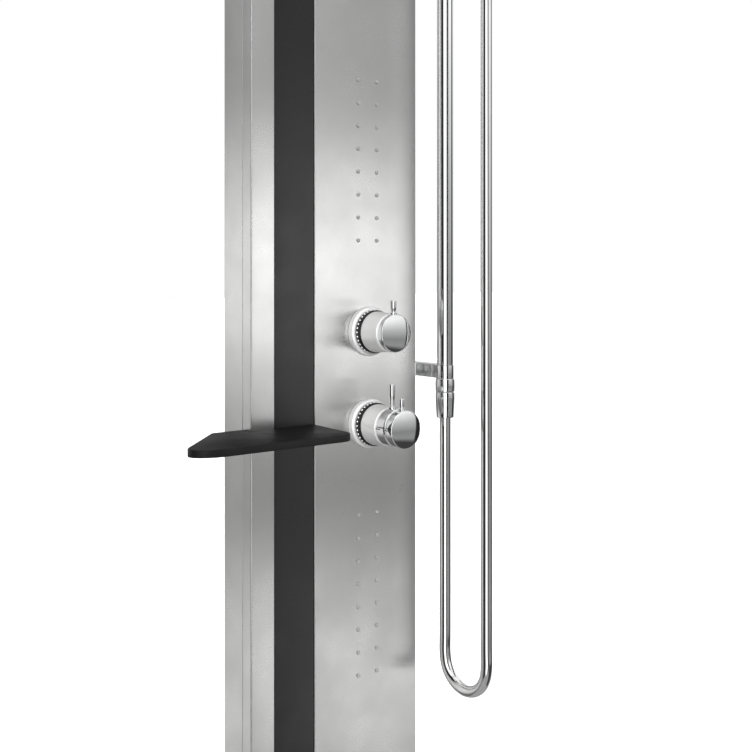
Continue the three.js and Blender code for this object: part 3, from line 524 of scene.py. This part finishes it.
def front_panel():
    left, right = INLAY_X - INLAY_HALF - GAP, INLAY_X + INLAY_HALF + GAP
    back, end = FACE + SHEET, SEAM - GAP / 2
    inner = HALF_WIDTH - SHEET
    corners = [
        (-HALF_WIDTH, end, 0.6), (-HALF_WIDTH, FACE, 1.5), (left, FACE, 0.8), (left, SLOT_FLOOR),
        (right, SLOT_FLOOR), (right, FACE, 1.1), (HALF_WIDTH, FACE, 1.5), (HALF_WIDTH, end, 0.6),
        (inner, end), (inner, back), (right + SHEET, back), (right + SHEET, SLOT_FLOOR + SHEET),
        (left - SHEET, SLOT_FLOOR + SHEET), (left - SHEET, back), (-inner, back), (-inner, end),
    ]
    pan = to_object("front_panel_pan", outline_block(fillet(corners, 8), BOTTOM, TOP))
    holes = [(x, z, 2.5, 24) for side in (1, -1) for x, z in jet_places(side)]
    holes += [(x, SHELF_TOP - SHELF_THICKNESS / 2, 2.5, 16) for x in (-105, -50)]
    holes += [(CONTROL_X, MIXER_Z, 18.5, 48), (CONTROL_X, DIVERTER_Z, 16.5, 48), (0, ARM_Z, 11.6, 48)]
    tools = bmesh.new()
    for x, z, radius, sides in holes:
        pin(radius, (x, FACE - 5, z), (x, FACE + 12, z), sides, tools)
    combine(pan, to_object("holes", tools))
    return dress(pan, STEEL, "column", ["front_panel"], 25)


def inlay():
    corners = [
        (INLAY_X - INLAY_HALF, INLAY_FACE, 0.5), (INLAY_X + INLAY_HALF, INLAY_FACE, 0.5),
        (INLAY_X + INLAY_HALF, SLOT_FLOOR - GAP), (INLAY_X - INLAY_HALF, SLOT_FLOOR - GAP),
    ]
    strip = to_object("inlay_strip", outline_block(fillet(corners, 4), BOTTOM + 0.5, TOP - 0.5))
    hole = to_object("hole", pin(2.5, (-50, FACE - 5, -54), (-50, FACE + 12, -54)))
    combine(strip, hole)
    return dress(strip, ACRYLIC, "column", ["black_inlay"], 25)


def rear_box():
    start, inner = SEAM + GAP / 2, HALF_WIDTH - SHEET
    corners = [
        (HALF_WIDTH, 0, 1.5), (-HALF_WIDTH, 0, 1.5), (-HALF_WIDTH, start, 0.5), (-inner, start),
        (-inner, -SHEET), (inner, -SHEET), (inner, start), (HALF_WIDTH, start, 0.5),
    ]
    channel = to_object("rear_channel", outline_block(fillet(corners, 8), BOTTOM, TOP))
    tools = box((-62, 62), (-5, 5), (878, 922))
    for side in (-1, 1):
        pin(15, (side * 75, -5, -200), (side * 75, 5, -200), 40, tools)
        pin(3, (side * 60, -5, -440), (side * 60, 5, -440), 24, tools)
    pin(6, (115, -21, BRACKET_Z), (125, -21, BRACKET_Z), 24, tools)
    for z in (BRACKET_Z, UPPER_BRACKET_Z):
        pin(2.3, (115, -33.5, z), (125, -33.5, z), 16, tools)
    combine(channel, to_object("openings", tools))
    return dress(channel, STEEL, "column", ["rear_box"], 25)


def nozzle(bm, place, radius, stand, sides=20):
    """A soft nozzle with a dimpled mouth, standing on a surface along +Z of its place."""
    profile = fillet(
        [(radius, -2.0), (radius, stand * 0.35, 0.3), (radius * 0.8, stand, 0.35),
         (radius * 0.36, stand, 0.15), (radius * 0.3, stand - 0.8), (0, stand - 0.8)],
        3, closed=False,
    )
    made = lathe([(0, -2.0)] + [tuple(p) for p in profile], sides)
    made.transform(place)
    mesh = bpy.data.meshes.new("nozzle")
    made.to_mesh(mesh)
    made.free()
    bm.from_mesh(mesh)
    bpy.data.meshes.remove(mesh)


def jet_mat(name, side, node):
    low, high = JET_FIRST - 12, JET_FIRST + (JET_ROWS - 1) * JET_PITCH + 12
    z = (low, high) if side > 0 else (-high, -low)
    bm = box((CONTROL_X - 25, CONTROL_X + 25), (FACE + 1.8, FACE + 3.8), z)
    for x, height in jet_places(side):
        nozzle(bm, at(x, FACE, height) @ Matrix.Rotation(math.radians(90), 4, "X"), 2.3, 1.8)
    return dress(to_object(name, bm), SILICONE, "column", [node], 40)


front_panel()
inlay()
rear_box()
jet_mat("jets_upper", 1, "jet_mat_upper")
jet_mat("jets_lower", -1, "jet_mat_lower")

# ------------------------------------------------------------------ control knobs


def control_base(prefix, z, bore, barrel_front):
    """The disc on the panel, the beaded black ring and the barrel, which don't turn."""
    place = out_of_panel(z)
    disc = turned([(bore, 0.3), (29.5, 0.3, 0.3), (29.5, 9, 3.4), (bore, 9)], 128, 10, True)
    disc = to_object(f"{prefix}_disc", disc, place)
    dress(disc, SATIN, "column", [f"{prefix}_escutcheon"], 40)
    ring = turned([(bore, 9.3), (25.6, 9.3, 0.5), (25.6, 17, 0.9), (bore, 17)], 128, 6, True)
    dress(to_object(f"{prefix}_ring", ring, place), TRIM, "column", [f"{prefix}_bezel"], 40)
    beads = bmesh.new()
    for k in range(32):
        turn = Matrix.Rotation(2 * math.pi * k / 32, 4, "Z") @ at(25.4, 0, 12.6)
        bmesh.ops.create_icosphere(beads, subdivisions=3, radius=1.3, matrix=turn)
    dress(to_object(f"{prefix}_beads", beads, place), CHROME, "column", (), 60)
    barrel = turned(
        [(19, 17.3), (24.2, 17.3, 0.7), (24.2, 20.0, 2.0), (22.7, barrel_front - 8, 8),
         (22.4, barrel_front, 1.2), (19, barrel_front)],
        128, 8, True,
    )
    dress(
        to_object(f"{prefix}_body", barrel, place), SATIN, "column", [f"{prefix}_barrel"], 40
    )


CAP_EDGE, DOME_TILT = 20.4, math.radians(12)
DOME_RADIUS = CAP_EDGE / math.sin(DOME_TILT)


def domed_cap(rear, front):
    """A mirror cap: a rounded side under a shallow dome, with a blind socket."""
    rim = front - DOME_RADIUS * (1 - math.cos(DOME_TILT))
    steps = 24
    tilts = [DOME_TILT * k / steps for k in range(steps)]
    dome = [(DOME_RADIUS * math.sin(a), front - DOME_RADIUS * (1 - math.cos(a))) for a in tilts]
    corner = rim - (22.3 - CAP_EDGE) * math.tan(DOME_TILT)
    side = [(4.5, front - 6), (4.5, rear), (20.0, rear, 0.4), (22.3, rear + 2.2, 2.2), (22.3, corner, 2.4)]
    outline = fillet([(0, front - 6)] + side + dome[::-1], 8, closed=False)
    return lathe([tuple(p) for p in outline], 128)


def lever(name, z, out, radius, top, body, node):
    """A slim turned stick that stands in the side of a cap or ring."""
    start, height = z + 14.3, top - 14.3
    profile = [
        (0, 0), (radius - 1, 0), (radius - 1, 7.6), (radius + 0.6, 7.8, 0.3), (radius + 0.6, 9.4, 0.5),
        (radius - 1, 10.2, 0.5), (radius - 0.9, height * 0.5, 3), (radius, height * 0.62, 3),
        (radius, height, 0.9), (0, height),
    ]
    stick = lathe([tuple(p) for p in fillet(profile, 5, closed=False)], 64)
    return dress(to_object(name, stick, at(CONTROL_X, FACE - out, start)), CHROME, body, [node], 40)


def index_mark(name, out, length, body):
    """A dark inlaid dash on the left of a turning ring, along the knob."""
    half = 0.55
    ends = half * 0.98
    outline = fillet([(-half, 0, ends), (half, 0, ends), (half, length, ends), (-half, length, ends)], 6)
    bm = outline_block(outline, -0.6, 0.12)
    turn = Matrix(((0, 0, -1, CONTROL_X - 22.3), (0, -1, 0, FACE - out), (-1, 0, 0, MIXER_Z), (0, 0, 0, 1)))
    return dress(to_object(name, bm, turn), TRIM, body, (), 40)


control_base("diverter", DIVERTER_Z, 15.8, 45.2)
control_base("mixer", MIXER_Z, 17.8, 41.7)

dress(
    to_object("diverter_dome", domed_cap(45.5, 57), out_of_panel(DIVERTER_Z)),
    CHROME, "diverter_lever", ["diverter_cap"], 24,
)
lever("diverter_handle", DIVERTER_Z, 48.6, 3.7, 38, "diverter_lever", "diverter_stick")

flow = turned(
    [(8.5, 42), (20.2, 42, 0.4), (22.3, 44.2, 2.2), (22.3, 57.6, 1.8), (21.0, 59.4, 0.5), (8.5, 59.4)],
    128, 7, True,
)
flow = to_object("flow_collar", flow, out_of_panel(MIXER_Z))
dress(flow, CHROME, "flow_lever", ["flow_ring"], 24)
lever("flow_handle", MIXER_Z, 46.2, 3.9, 50.5, "flow_lever", "flow_stick")
index_mark("flow_index", 43.6, 7.6, "flow_lever")

dress(
    to_object("temperature_dome", domed_cap(59.8, 74.4), out_of_panel(MIXER_Z)),
    CHROME, "temperature_lever", ["temperature_cap"], 24,
)
lever("temperature_handle", MIXER_Z, 63.9, 3.2, 35, "temperature_lever", "temperature_stick")
index_mark("temperature_index", 61.4, 7.6, "temperature_lever")

# ------------------------------------------------------------------ shelf


def bow(start, control, end, count=16):
    """A quadratic curve's points after its start."""
    points = []
    for k in range(1, count + 1):
        t = k / count
        shares = ((1 - t) ** 2, 2 * t * (1 - t), t * t)
        points.append(tuple(
            shares[0] * a + shares[1] * b + shares[2] * c for a, b, c in zip(start, control, end)
        ))
    return points


def shelf_board():
    """The shelf wraps the panel's left corner: a long blade with round ends."""
    left, face, rear, front = -HALF_WIDTH - GAP, FACE - GAP, FACE + 17, FACE - 84
    outline = [(-33.5, face), (left, face), (left, rear), (-157, rear)]
    outline += bow((-157, rear), (-162, rear), (-166, FACE + 11))
    outline += [(-227.5, FACE - 52)] + bow((-227.5, FACE - 52), (-238.3, FACE - 63), (-230.5, FACE - 72))
    outline += bow((-230.5, FACE - 72), (-221, front), (-199, front))
    outline += [(-56, front)] + bow((-56, front), (-38.5, front), (-37.5, front + 18))
    board = to_object("shelf_blade", outline_block(outline, SHELF_TOP - SHELF_THICKNESS, SHELF_TOP))
    soften(board, 0.45, 3, 40)
    return dress(board, RESIN, "column", ["shelf"], 25)


shelf_board()

# ------------------------------------------------------------------ brackets, rail and outlet


def bracket_arm(z, front):
    corners = [
        (RAIL_X - 7.5, front, 0.6), (RAIL_X + 7.5, front, 0.6), (RAIL_X + 7.5, -12, 3),
        (HALF_WIDTH + GAP, -12, 0.6), (HALF_WIDTH + GAP, -38, 0.6), (RAIL_X - 7.5, -38, 2.5),
    ]
    return outline_block(fillet(corners, 6), z - BRACKET_HALF, z + BRACKET_HALF)


def rail_ring(name, z):
    low, high = z - BRACKET_HALF, z + BRACKET_HALF
    ring = to_object(name, lathe([(0, low), (10.7, low), (10.7, high), (0, high)], 96), at(RAIL_X, RAIL_Y, 0))
    stub = to_object("stub", box((RAIL_X - 7.5, RAIL_X + 7.5), (RAIL_Y, BRACKET_JOINT), (low, high)))
    return combine(ring, stub, "UNION")


arm = to_object("bracket_arm_lower", bracket_arm(BRACKET_Z, BRACKET_JOINT + 0.3))
soften(arm, 1.0, 4, 50)
dress(arm, CHROME, "column", ["lower_bracket"], 40)

elbow = rail_ring("outlet_ring", BRACKET_Z)
soften(elbow, 0.8, 4, 50)
dress(elbow, CHROME, "column", ["outlet_elbow"], 40)

holder = rail_ring("bracket_upper", UPPER_BRACKET_Z)
combine(holder, to_object("arm", bracket_arm(UPPER_BRACKET_Z, BRACKET_JOINT - 1)), "UNION")
soften(holder, 0.8, 4, 50)
dress(holder, CHROME, "column", ["upper_bracket"], 40)


def on_rail(name, profile, node, body="column", sides=96, count=6):
    form = to_object(name, turned(profile, sides, count, True), at(RAIL_X, RAIL_Y, 0))
    return dress(form, CHROME, body, [node], 40)


on_rail(
    "outlet_collar",
    [(4, -5.8), (11.7, -5.8, 1.0), (12, -13.8, 20), (11.7, -21.8, 1.0), (4, -21.8)],
    "outlet_nut",
)
on_rail(
    "hose_cone_lower",
    [(4, -22.1), (11.7, -22.1, 1.0), (11.9, -29.5, 6), (10.6, -54, 1.8), (8.6, -54, 0.4), (4, -54)],
    "hose_nut_lower",
)
on_rail("rail_tube", [(8.8, 11.2), (10, 11.2, 0.4), (10, 939.7, 0.4), (8.8, 939.7)], "rail")

# ------------------------------------------------------------------ slider and holder

# Takes a flat outline drawn in (Y, Z) and raises it along X.
IN_SIDE_PLANE = Matrix(((0, 0, 1, 0), (1, 0, 0, 0), (0, 1, 0, 0), (0, 0, 0, 1)))


def round_lug(centre, radius, reach, half, steps=40):
    """Outline in (Y, Z): a disc about the centre with straight sides running on to reach in Y."""
    y, z = centre
    turn = [math.pi / 2 + math.pi * k / steps for k in range(steps + 1)]
    if reach < y:
        turn = [a + math.pi for a in turn]
    arc = [(y + radius * math.cos(a), z + radius * math.sin(a)) for a in turn]
    ends = [(reach, z - half), (reach, z + half)] if reach > y else [(reach, z + half), (reach, z - half)]
    return arc + ends


sleeve_profile = [
    (10.4, 720), (15.2, 720, 1.0), (17, 723.4, 2.0), (17, 740, 0.3), (16.4, 741, 0.3), (16.4, 749, 0.3),
    (17, 750, 0.3), (17, 766.6, 2.0), (15.2, 770, 1.0), (10.4, 770),
]
slider = to_object("slider_sleeve", turned(sleeve_profile, 96, 6, True), at(RAIL_X, RAIL_Y, 0))
for side in (-1, 1):
    low, high = sorted((RAIL_X + side * 6.6, RAIL_X + side * 12))
    cheek = outline_block(round_lug((TILT_Y, SLIDER_Z), 11, RAIL_Y - 12, 11), low, high)
    cheek_object = to_object("cheek", cheek, IN_SIDE_PLANE)
    combine(slider, cheek_object, "UNION")
soften(slider, 0.5, 3, 50)
dress(slider, CHROME, "slider", ["slider"], 35)

knob = turned(
    [(0, 13.6), (2.9, 13.6), (2.9, 17.6), (9.2, 17.6, 0.5), (10.7, 19.2, 1.0), (10.4, 29.6, 1.2),
     (8.6, 32.2, 1.2), (0, 32.6)],
    192, 6, False,
)
for vertex in knob.verts:
    radius = math.hypot(vertex.co.x, vertex.co.y)
    if radius > 9.9:
        angle = math.atan2(vertex.co.y, vertex.co.x)
        pull = 1 - 0.035 * max(0.0, math.cos(16 * angle)) ** 3
        vertex.co.x *= pull
        vertex.co.y *= pull
knob = to_object("lock_knob", knob, across(RAIL_X, RAIL_Y, SLIDER_Z))
dress(knob, CHROME, "slider_lock", ["slider_knob"], 40)

tilt = turned(
    [(0, -12.6), (2.2, -12.6, 0.5), (2.5, -12), (2.5, 12), (2.2, 12.6, 0.5), (0, 12.6)], 48, 4, False
)
tilt = to_object("tilt_pin_bar", tilt, across(RAIL_X, TILT_Y, SLIDER_Z))
dress(tilt, ROUND_STEEL, "slider", ["tilt_pin"])


def cone_radius(z):
    """Radius of the hose nut's cone at a height: the cup is bored to the same taper."""
    return 10.4 + 2 * (z - 703) / 46


cup = to_object(
    "holder_fork",
    turned(
        [(cone_radius(714) + 0.4, 714), (14.6, 714, 0.8), (17.2, 717.4, 2.4), (17.2, 745, 1.6),
         (15.6, 747, 0.8), (cone_radius(747) + 0.4, 747)],
        96, 6, True,
    ),
    at(RAIL_X, HOSE_Y, 0),
)
lug = outline_block(round_lug((TILT_Y, SLIDER_Z), 9, HOSE_Y + 14.5, 9), RAIL_X - 6.2, RAIL_X + 6.2)
combine(cup, to_object("lug", lug, IN_SIDE_PLANE), "UNION")
web = box((RAIL_X - 6.2, RAIL_X + 6.2), (HOSE_Y + 14.5, TILT_Y - 5), (729, 742))
combine(cup, to_object("web", web), "UNION")
combine(cup, to_object("mouth", box((RAIL_X - 7.6, RAIL_X + 7.6), (HOSE_Y - 30, HOSE_Y - 4), (700, 760))))
soften(cup, 0.45, 3, 50)
dress(cup, PLASTIC_CHROME, "holder", ["holder_cup"], 35)

cone = turned(
    [(7.6, 703), (9.4, 703, 0.5), (10.5, 704.6, 1.2), (12.4, 749, 0.3), (7.6, 749)], 96, 6, True
)
cone = to_object("hose_cone_upper", cone, at(RAIL_X, HOSE_Y, 0))
dress(cone, CHROME, "hand_shower", ["hose_nut_upper"], 40)

# ------------------------------------------------------------------ hand shower

HEAD_PLACE = at(RAIL_X, -196, 940) @ Matrix.Rotation(math.radians(-65), 4, "X")
HANDLE = [(0, 749.3), (0, 790), (0, 835), (-2, 868), (-7.5, 900), (-16, 926), (-27, 945)]


def handset():
    line = smooth_line([(RAIL_X, HOSE_Y + y, z) for y, z in HANDLE], 10)
    radii = []
    for n in range(len(line)):
        share = n / (len(line) - 1)
        waist = 0.7 * math.sin(math.pi * min(1.0, share / 0.7))
        neck = 2.0 * max(0.0, share - 0.6) ** 2 / 0.16
        radii.append(11.6 - waist + neck)
    body = to_object("handset_body", sweep(line, radii, 64))
    dome = [
        (0, 15), (16, 14, 6), (34, 10, 14), (47, 3.9, 6), (50, -0.6, 2), (50, -5.4, 1.2), (48, -7, 0.8),
        (45.2, -7, 0.3), (45.2, -3.6), (0, -3.6),
    ]
    combine(body, to_object("head", turned(dome, 128, 8, False), HEAD_PLACE), "UNION")
    collar = turned(
        [(0, 749.3), (11.8, 749.3, 0.4), (12.6, 751, 0.8), (12.6, 755, 0.8), (11.4, 757.3, 0.4), (0, 757.3)],
        96, 5, False,
    )
    combine(body, to_object("collar", collar, at(RAIL_X, HOSE_Y, 0)), "UNION")
    bore = turned([(0, 744), (7.6, 744), (7.6, 802, 2), (0, 804)], 48, 4, False)
    combine(body, to_object("bore", bore, at(RAIL_X, HOSE_Y, 0)))
    return dress(body, PLASTIC_CHROME, "hand_shower", ["handset"], 38)


def nozzle_rings(name, place, rings, radius, stand, body):
    """Rings of soft nozzles about a spray face's axis: each ring is its radius and how many it holds."""
    bm = bmesh.new()
    for n, (ring, count) in enumerate(rings):
        for k in range(count):
            turn = Matrix.Rotation(2 * math.pi * (k + 0.5 * (n % 2)) / count, 4, "Z")
            nozzle(bm, place @ turn @ at(ring, 0, 0), radius, stand, 14)
    return dress(to_object(name, bm), SILICONE, body, (), 40)


handset()
face = turned([(0, -3.9), (43.9, -3.9), (43.9, -6.4, 0.8), (42.4, -7.3, 0.8), (0, -7.8)], 128, 6, False)
face = to_object("handset_disc", face, HEAD_PLACE)
dress(face, WHITE, "hand_shower", ["handset_face"], 40)
DOWN = Matrix.Rotation(math.pi, 4, "X")
nozzle_rings(
    "handset_nozzles", HEAD_PLACE @ at(0, 0, -7.6) @ DOWN,
    [(6.5, 6), (13.5, 12), (20.5, 18), (27.5, 24), (35, 30)], 1.15, 1.5, "hand_shower",
)

# ------------------------------------------------------------------ rain head


def rain_arm():
    elbow = -ARM_REACH + ARM_BEND
    line = [(0, FACE + 18, ARM_Z), (0, -200, ARM_Z), (0, elbow + 30, ARM_Z)]
    for k in range(25):
        angle = math.radians(90 * k / 24)
        line.append((0, elbow - ARM_BEND * math.sin(angle), ARM_Z - ARM_BEND + ARM_BEND * math.cos(angle)))
    foot = ARM_Z - ARM_BEND - 8
    line.append((0, -ARM_REACH, foot))
    arm_body = to_object("rain_arm_pipe", sweep(line, ARM_RADIUS, 64))
    tip = [
        (0, foot - 6), (10.8, foot - 6, 0.6), (11.7, foot - 5, 0.6), (11.7, foot + 2, 0.7),
        (10.5, foot + 3, 0.3), (0, foot + 3),
    ]
    combine(arm_body, to_object("tip", turned(tip, 96, 5, False), at(0, -ARM_REACH, 0)), "UNION")
    arc = [
        (BALL_RADIUS * math.cos(math.radians(a)), BALL_Z + BALL_RADIUS * math.sin(math.radians(a)))
        for a in range(60, -91, -6)
    ]
    arc[-1] = (0, BALL_Z - BALL_RADIUS)
    stem = lathe([(0, foot - 4), (6, foot - 4)] + arc, 64)
    combine(arm_body, to_object("stem", stem, at(0, -ARM_REACH, 0)), "UNION")
    return dress(arm_body, CHROME, "column", ["rain_arm"], 35)


def ball_points(radius, first, last, count):
    return [
        (radius * math.cos(math.radians(first + (last - first) * k / count)),
         BALL_Z + radius * math.sin(math.radians(first + (last - first) * k / count)))
        for k in range(count + 1)
    ]


rain_arm()
flange = turned([(11.5, 0.3), (28, 0.3, 0.3), (28, 3.2, 1.4), (24.5, 6.4, 2.5), (11.5, 7, 0.4)], 128, 8, True)
dress(
    to_object("arm_rose", flange, at(0, FACE, ARM_Z) @ Matrix.Rotation(math.radians(90), 4, "X")),
    CHROME, "column", ["arm_flange"], 40,
)
PIVOT = at(0, -ARM_REACH, 0)
ball_nut = turned(
    [(15.2, BALL_Z - 1), (19, BALL_Z - 1, 0.4), (19, BALL_Z + 7, 2.2), (16, BALL_Z + 10, 1.0),
     (10.4, BALL_Z + 10, 0.3)] + ball_points(12.9, 42, 8, 8),
    128, 6, True,
)
dress(to_object("ball_collar", ball_nut, PIVOT), CHROME, "rain_shower", ["ball_nut"], 40)
split = BALL_Z - 1.3
head = turned(
    [(15.2, split), (19, split, 0.4), (19, RAIN_RIM + 8, 3), (23, RAIN_RIM + 4.6, 3), (119, RAIN_RIM, 2),
     (124, RAIN_RIM - 1.4, 1.2), (125, RAIN_RIM - 3.2, 1.2), (125, RAIN_BOTTOM, 0.5),
     (123.6, RAIN_BOTTOM, 0.4), (123.6, RAIN_RIM - 3.6), (15, RAIN_RIM + 2.4), (8, BALL_Z - 17)]
    + ball_points(15.1, -60, -8, 10),
    192, 6, True,
)
dress(to_object("rain_shell", head, PIVOT), ROUND_STEEL, "rain_shower", ["rain_head"], 30)
plate = turned([(0, 950.4), (123.2, 950.4, 0.4), (123.2, 952.6), (0, 952.6)], 192, 4, False)
dress(to_object("rain_plate", plate, PIVOT), ROUND_STEEL, "rain_shower", ["rain_face"], 40)
nozzle_rings(
    "rain_nozzles", PIVOT @ at(0, 0, 950.4) @ DOWN,
    [(13 * (n + 1), 6 * (n + 1)) for n in range(9)], 1.6, 1.9, "rain_shower",
)

# ------------------------------------------------------------------ carried-over nodes

for node_name, finish in CAD_FINISH.items():
    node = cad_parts[node_name]
    node.data.materials.clear()
    node.data.materials.append(finish)
    weld = node.modifiers.new("weld", "WELD")
    weld.merge_threshold = 0.00001
    edges = node.modifiers.new("edges", "BEVEL")
    edges.width = 0.0003
    edges.segments = 2
    edges.limit_method = "ANGLE"
    edges.angle_limit = math.radians(40)

# ------------------------------------------------------------------ studio

scene = bpy.context.scene
scene.view_settings.view_transform = "Standard"

world = bpy.data.worlds.new("studio")
scene.world = world
world.use_nodes = True
t = Tree(world.node_tree)
aim = t.node("ShaderNodeSeparateXYZ", None, Vector=t.node("ShaderNodeTexCoord").outputs["Generated"]).outputs
height = t.math("MULTIPLY", t.math("ARCSINE", aim[2]), 180 / math.pi)
turn = t.math("MULTIPLY", t.math("ARCTAN2", aim[0], t.math("MULTIPLY", aim[1], -1.0)), 180 / math.pi)


def share_of(degrees):
    return (degrees + 90) / 180


SKY = [(-90, 0.35), (-25, 0.35), (-10, 0.25), (0, 0.5), (12, 1.0), (90, 1.0)]
level = t.ramp(t.math("DIVIDE", t.math("ADD", height, 90.0), 180.0), [(share_of(a), v) for a, v in SKY])


def card(middle, width, value, low=-30, high=60, edge=1.5):
    """A studio card: its turn from straight in front of the panel, width and heights, all in degrees."""
    left, right = middle - width / 2, middle + width / 2
    after = t.span(turn, left - edge, left + edge)
    before = t.span(turn, right - edge, right + edge, 1.0, 0.0)
    inside = t.math("MULTIPLY", after, before)
    above = t.span(height, low - 2 * edge, low + 2 * edge)
    below = t.span(height, high - 2 * edge, high + 2 * edge, 1.0, 0.0)
    share = t.math("MULTIPLY", inside, t.math("MULTIPLY", above, below))
    return t.mix(share, level, grey(value))


# Chrome only looks like chrome between light and dark: a ring of pale cards with black ones between them.
WHITE_CARDS = [(-40, 32, 1.7), (-140, 34, 0.85), (136, 48, 0.6)]
BLACK_CARDS = [(-86, 36), (-13, 22), (70, 28), (165, 20), (-165, 14)]
BLACK = 0.02
for middle, width, value in WHITE_CARDS:
    level = card(middle, width, value)
for middle, width in BLACK_CARDS:
    level = card(middle, width, BLACK)
# A low dark card, mirrored as a crescent at the foot of the knobs' caps.
level = card(38, 60, 0.05, -60, -19)
seen = t.node("ShaderNodeLightPath").outputs["Is Camera Ray"]
level = t.mix(seen, level, grey(1.0))
background = t.node("ShaderNodeBackground", None, Color=level, Strength=1.0)
output = t.node("ShaderNodeOutputWorld")
t.tree.links.new(background.outputs[0], output.inputs["Surface"])


def group_of(name, *pieces):
    made = bpy.data.collections.new(name)
    for piece in pieces:
        made.objects.link(bpy.data.objects[piece])
    return made


def feather(lamp):
    """Fades a softbox from its bright middle to nothing at its top and bottom edges."""
    lamp.use_nodes = True
    box_tree = Tree(lamp.node_tree)
    place = box_tree.node("ShaderNodeNewGeometry").outputs["Parametric"]
    up = box_tree.node("ShaderNodeSeparateXYZ", None, Vector=place).outputs[1]
    rise, fall = box_tree.span(up, 0.0, 0.5), box_tree.span(up, 0.5, 1.0, 1.0, 0.0)
    glow = box_tree.node("ShaderNodeEmission", None, Strength=box_tree.math("MULTIPLY", rise, fall))
    out = box_tree.node("ShaderNodeOutputLight")
    box_tree.tree.links.new(glow.outputs[0], out.inputs["Surface"])


def softbox(name, where, target, size, radiance, only=None, feathered=False):
    """A soft area light facing a point. Only limits both what it lights and what shades it."""
    lamp = bpy.data.lights.new(name, "AREA")
    lamp.shape = "RECTANGLE"
    lamp.size, lamp.size_y = size
    lamp.energy = radiance * math.pi * size[0] * size[1]
    made = bpy.data.objects.new(name, lamp)
    made.location = where
    made.rotation_euler = (Vector(target) - Vector(where)).to_track_quat("-Z", "Y").to_euler()
    scene.collection.objects.link(made)
    if only is not None:
        made.light_linking.receiver_collection = only
        made.light_linking.blocker_collection = only
    if feathered:
        feather(lamp)
    return made


def toward(turn_degrees, distance, z):
    """A place that far from the panel, at a turn from straight in front of it."""
    a = math.radians(turn_degrees)
    return (distance * math.sin(a), FACE * MM - distance * math.cos(a), z)


casing = group_of("casing", "front_panel_pan", "rear_channel", "inlay_strip", "shelf_blade")
satin = group_of(
    "satin", "diverter_disc", "diverter_body", "diverter_beads", "mixer_disc", "mixer_body", "mixer_beads"
)

# The panel's front and its side each mirror an upper and a lower softbox to the camera.
# A side is a name, a turn and a share of the brightness; a box is a name, height, length and brightness.
BOX_DISTANCE = 3.0
SIDES = [("front", 37, 1.0), ("side", -143, 0.5)]
BOXES = [("upper", 0.05, 1.6, 2.9), ("lower", -1.5, 1.9, 1.9)]
for side, box_turn, share in SIDES:
    for name, z, tall, radiance in BOXES:
        softbox(
            f"{side} {name}", toward(box_turn, BOX_DISTANCE, z), toward(0, 0, z), (2.4, tall),
            radiance * share, casing, True,
        )
softbox("fill left", toward(-38, 3.0, 0.2), toward(0, 0, 0.2), (1.6, 3.0), 1.2, casing)
softbox("fill right", toward(92, 2.5, 0.3), toward(0, 0, 0.3), (1.4, 3.0), 0.9, casing)
softbox("satin light", toward(-38, 1.2, 0.25), (0.04, -0.09, 0), (1.6, 1.4), 2.0, satin)
softbox("key", (-0.4, -2.2, 2.6), (0, 0, 0.2), (1.6, 1.2), 1.2)

floor_mesh = bpy.data.meshes.new("floor")
bm = bmesh.new()
bmesh.ops.create_grid(bm, x_segments=1, y_segments=1, size=30)
bm.to_mesh(floor_mesh)
bm.free()
floor = bpy.data.objects.new("floor", floor_mesh)
floor.location = (0, -0.2, -1.05)
scene.collection.objects.link(floor)
floor_mesh.materials.append(
    finish_of("pale floor", grey(0.88), grey(0.84), 0.0, (0.6, 0.75), patch=3.0, grain=60.0, bump=0.05)
)
floor.visible_glossy = False
floor.visible_diffuse = False
floor_light = bpy.data.objects.new("floor light", bpy.data.lights.new("floor light", "SUN"))
floor_light.data.energy = 3.4
floor_light.data.angle = math.radians(50)
floor_light.light_linking.receiver_collection = bpy.data.collections.new("floor lit")
floor_light.light_linking.receiver_collection.objects.link(floor)
scene.collection.objects.link(floor_light)
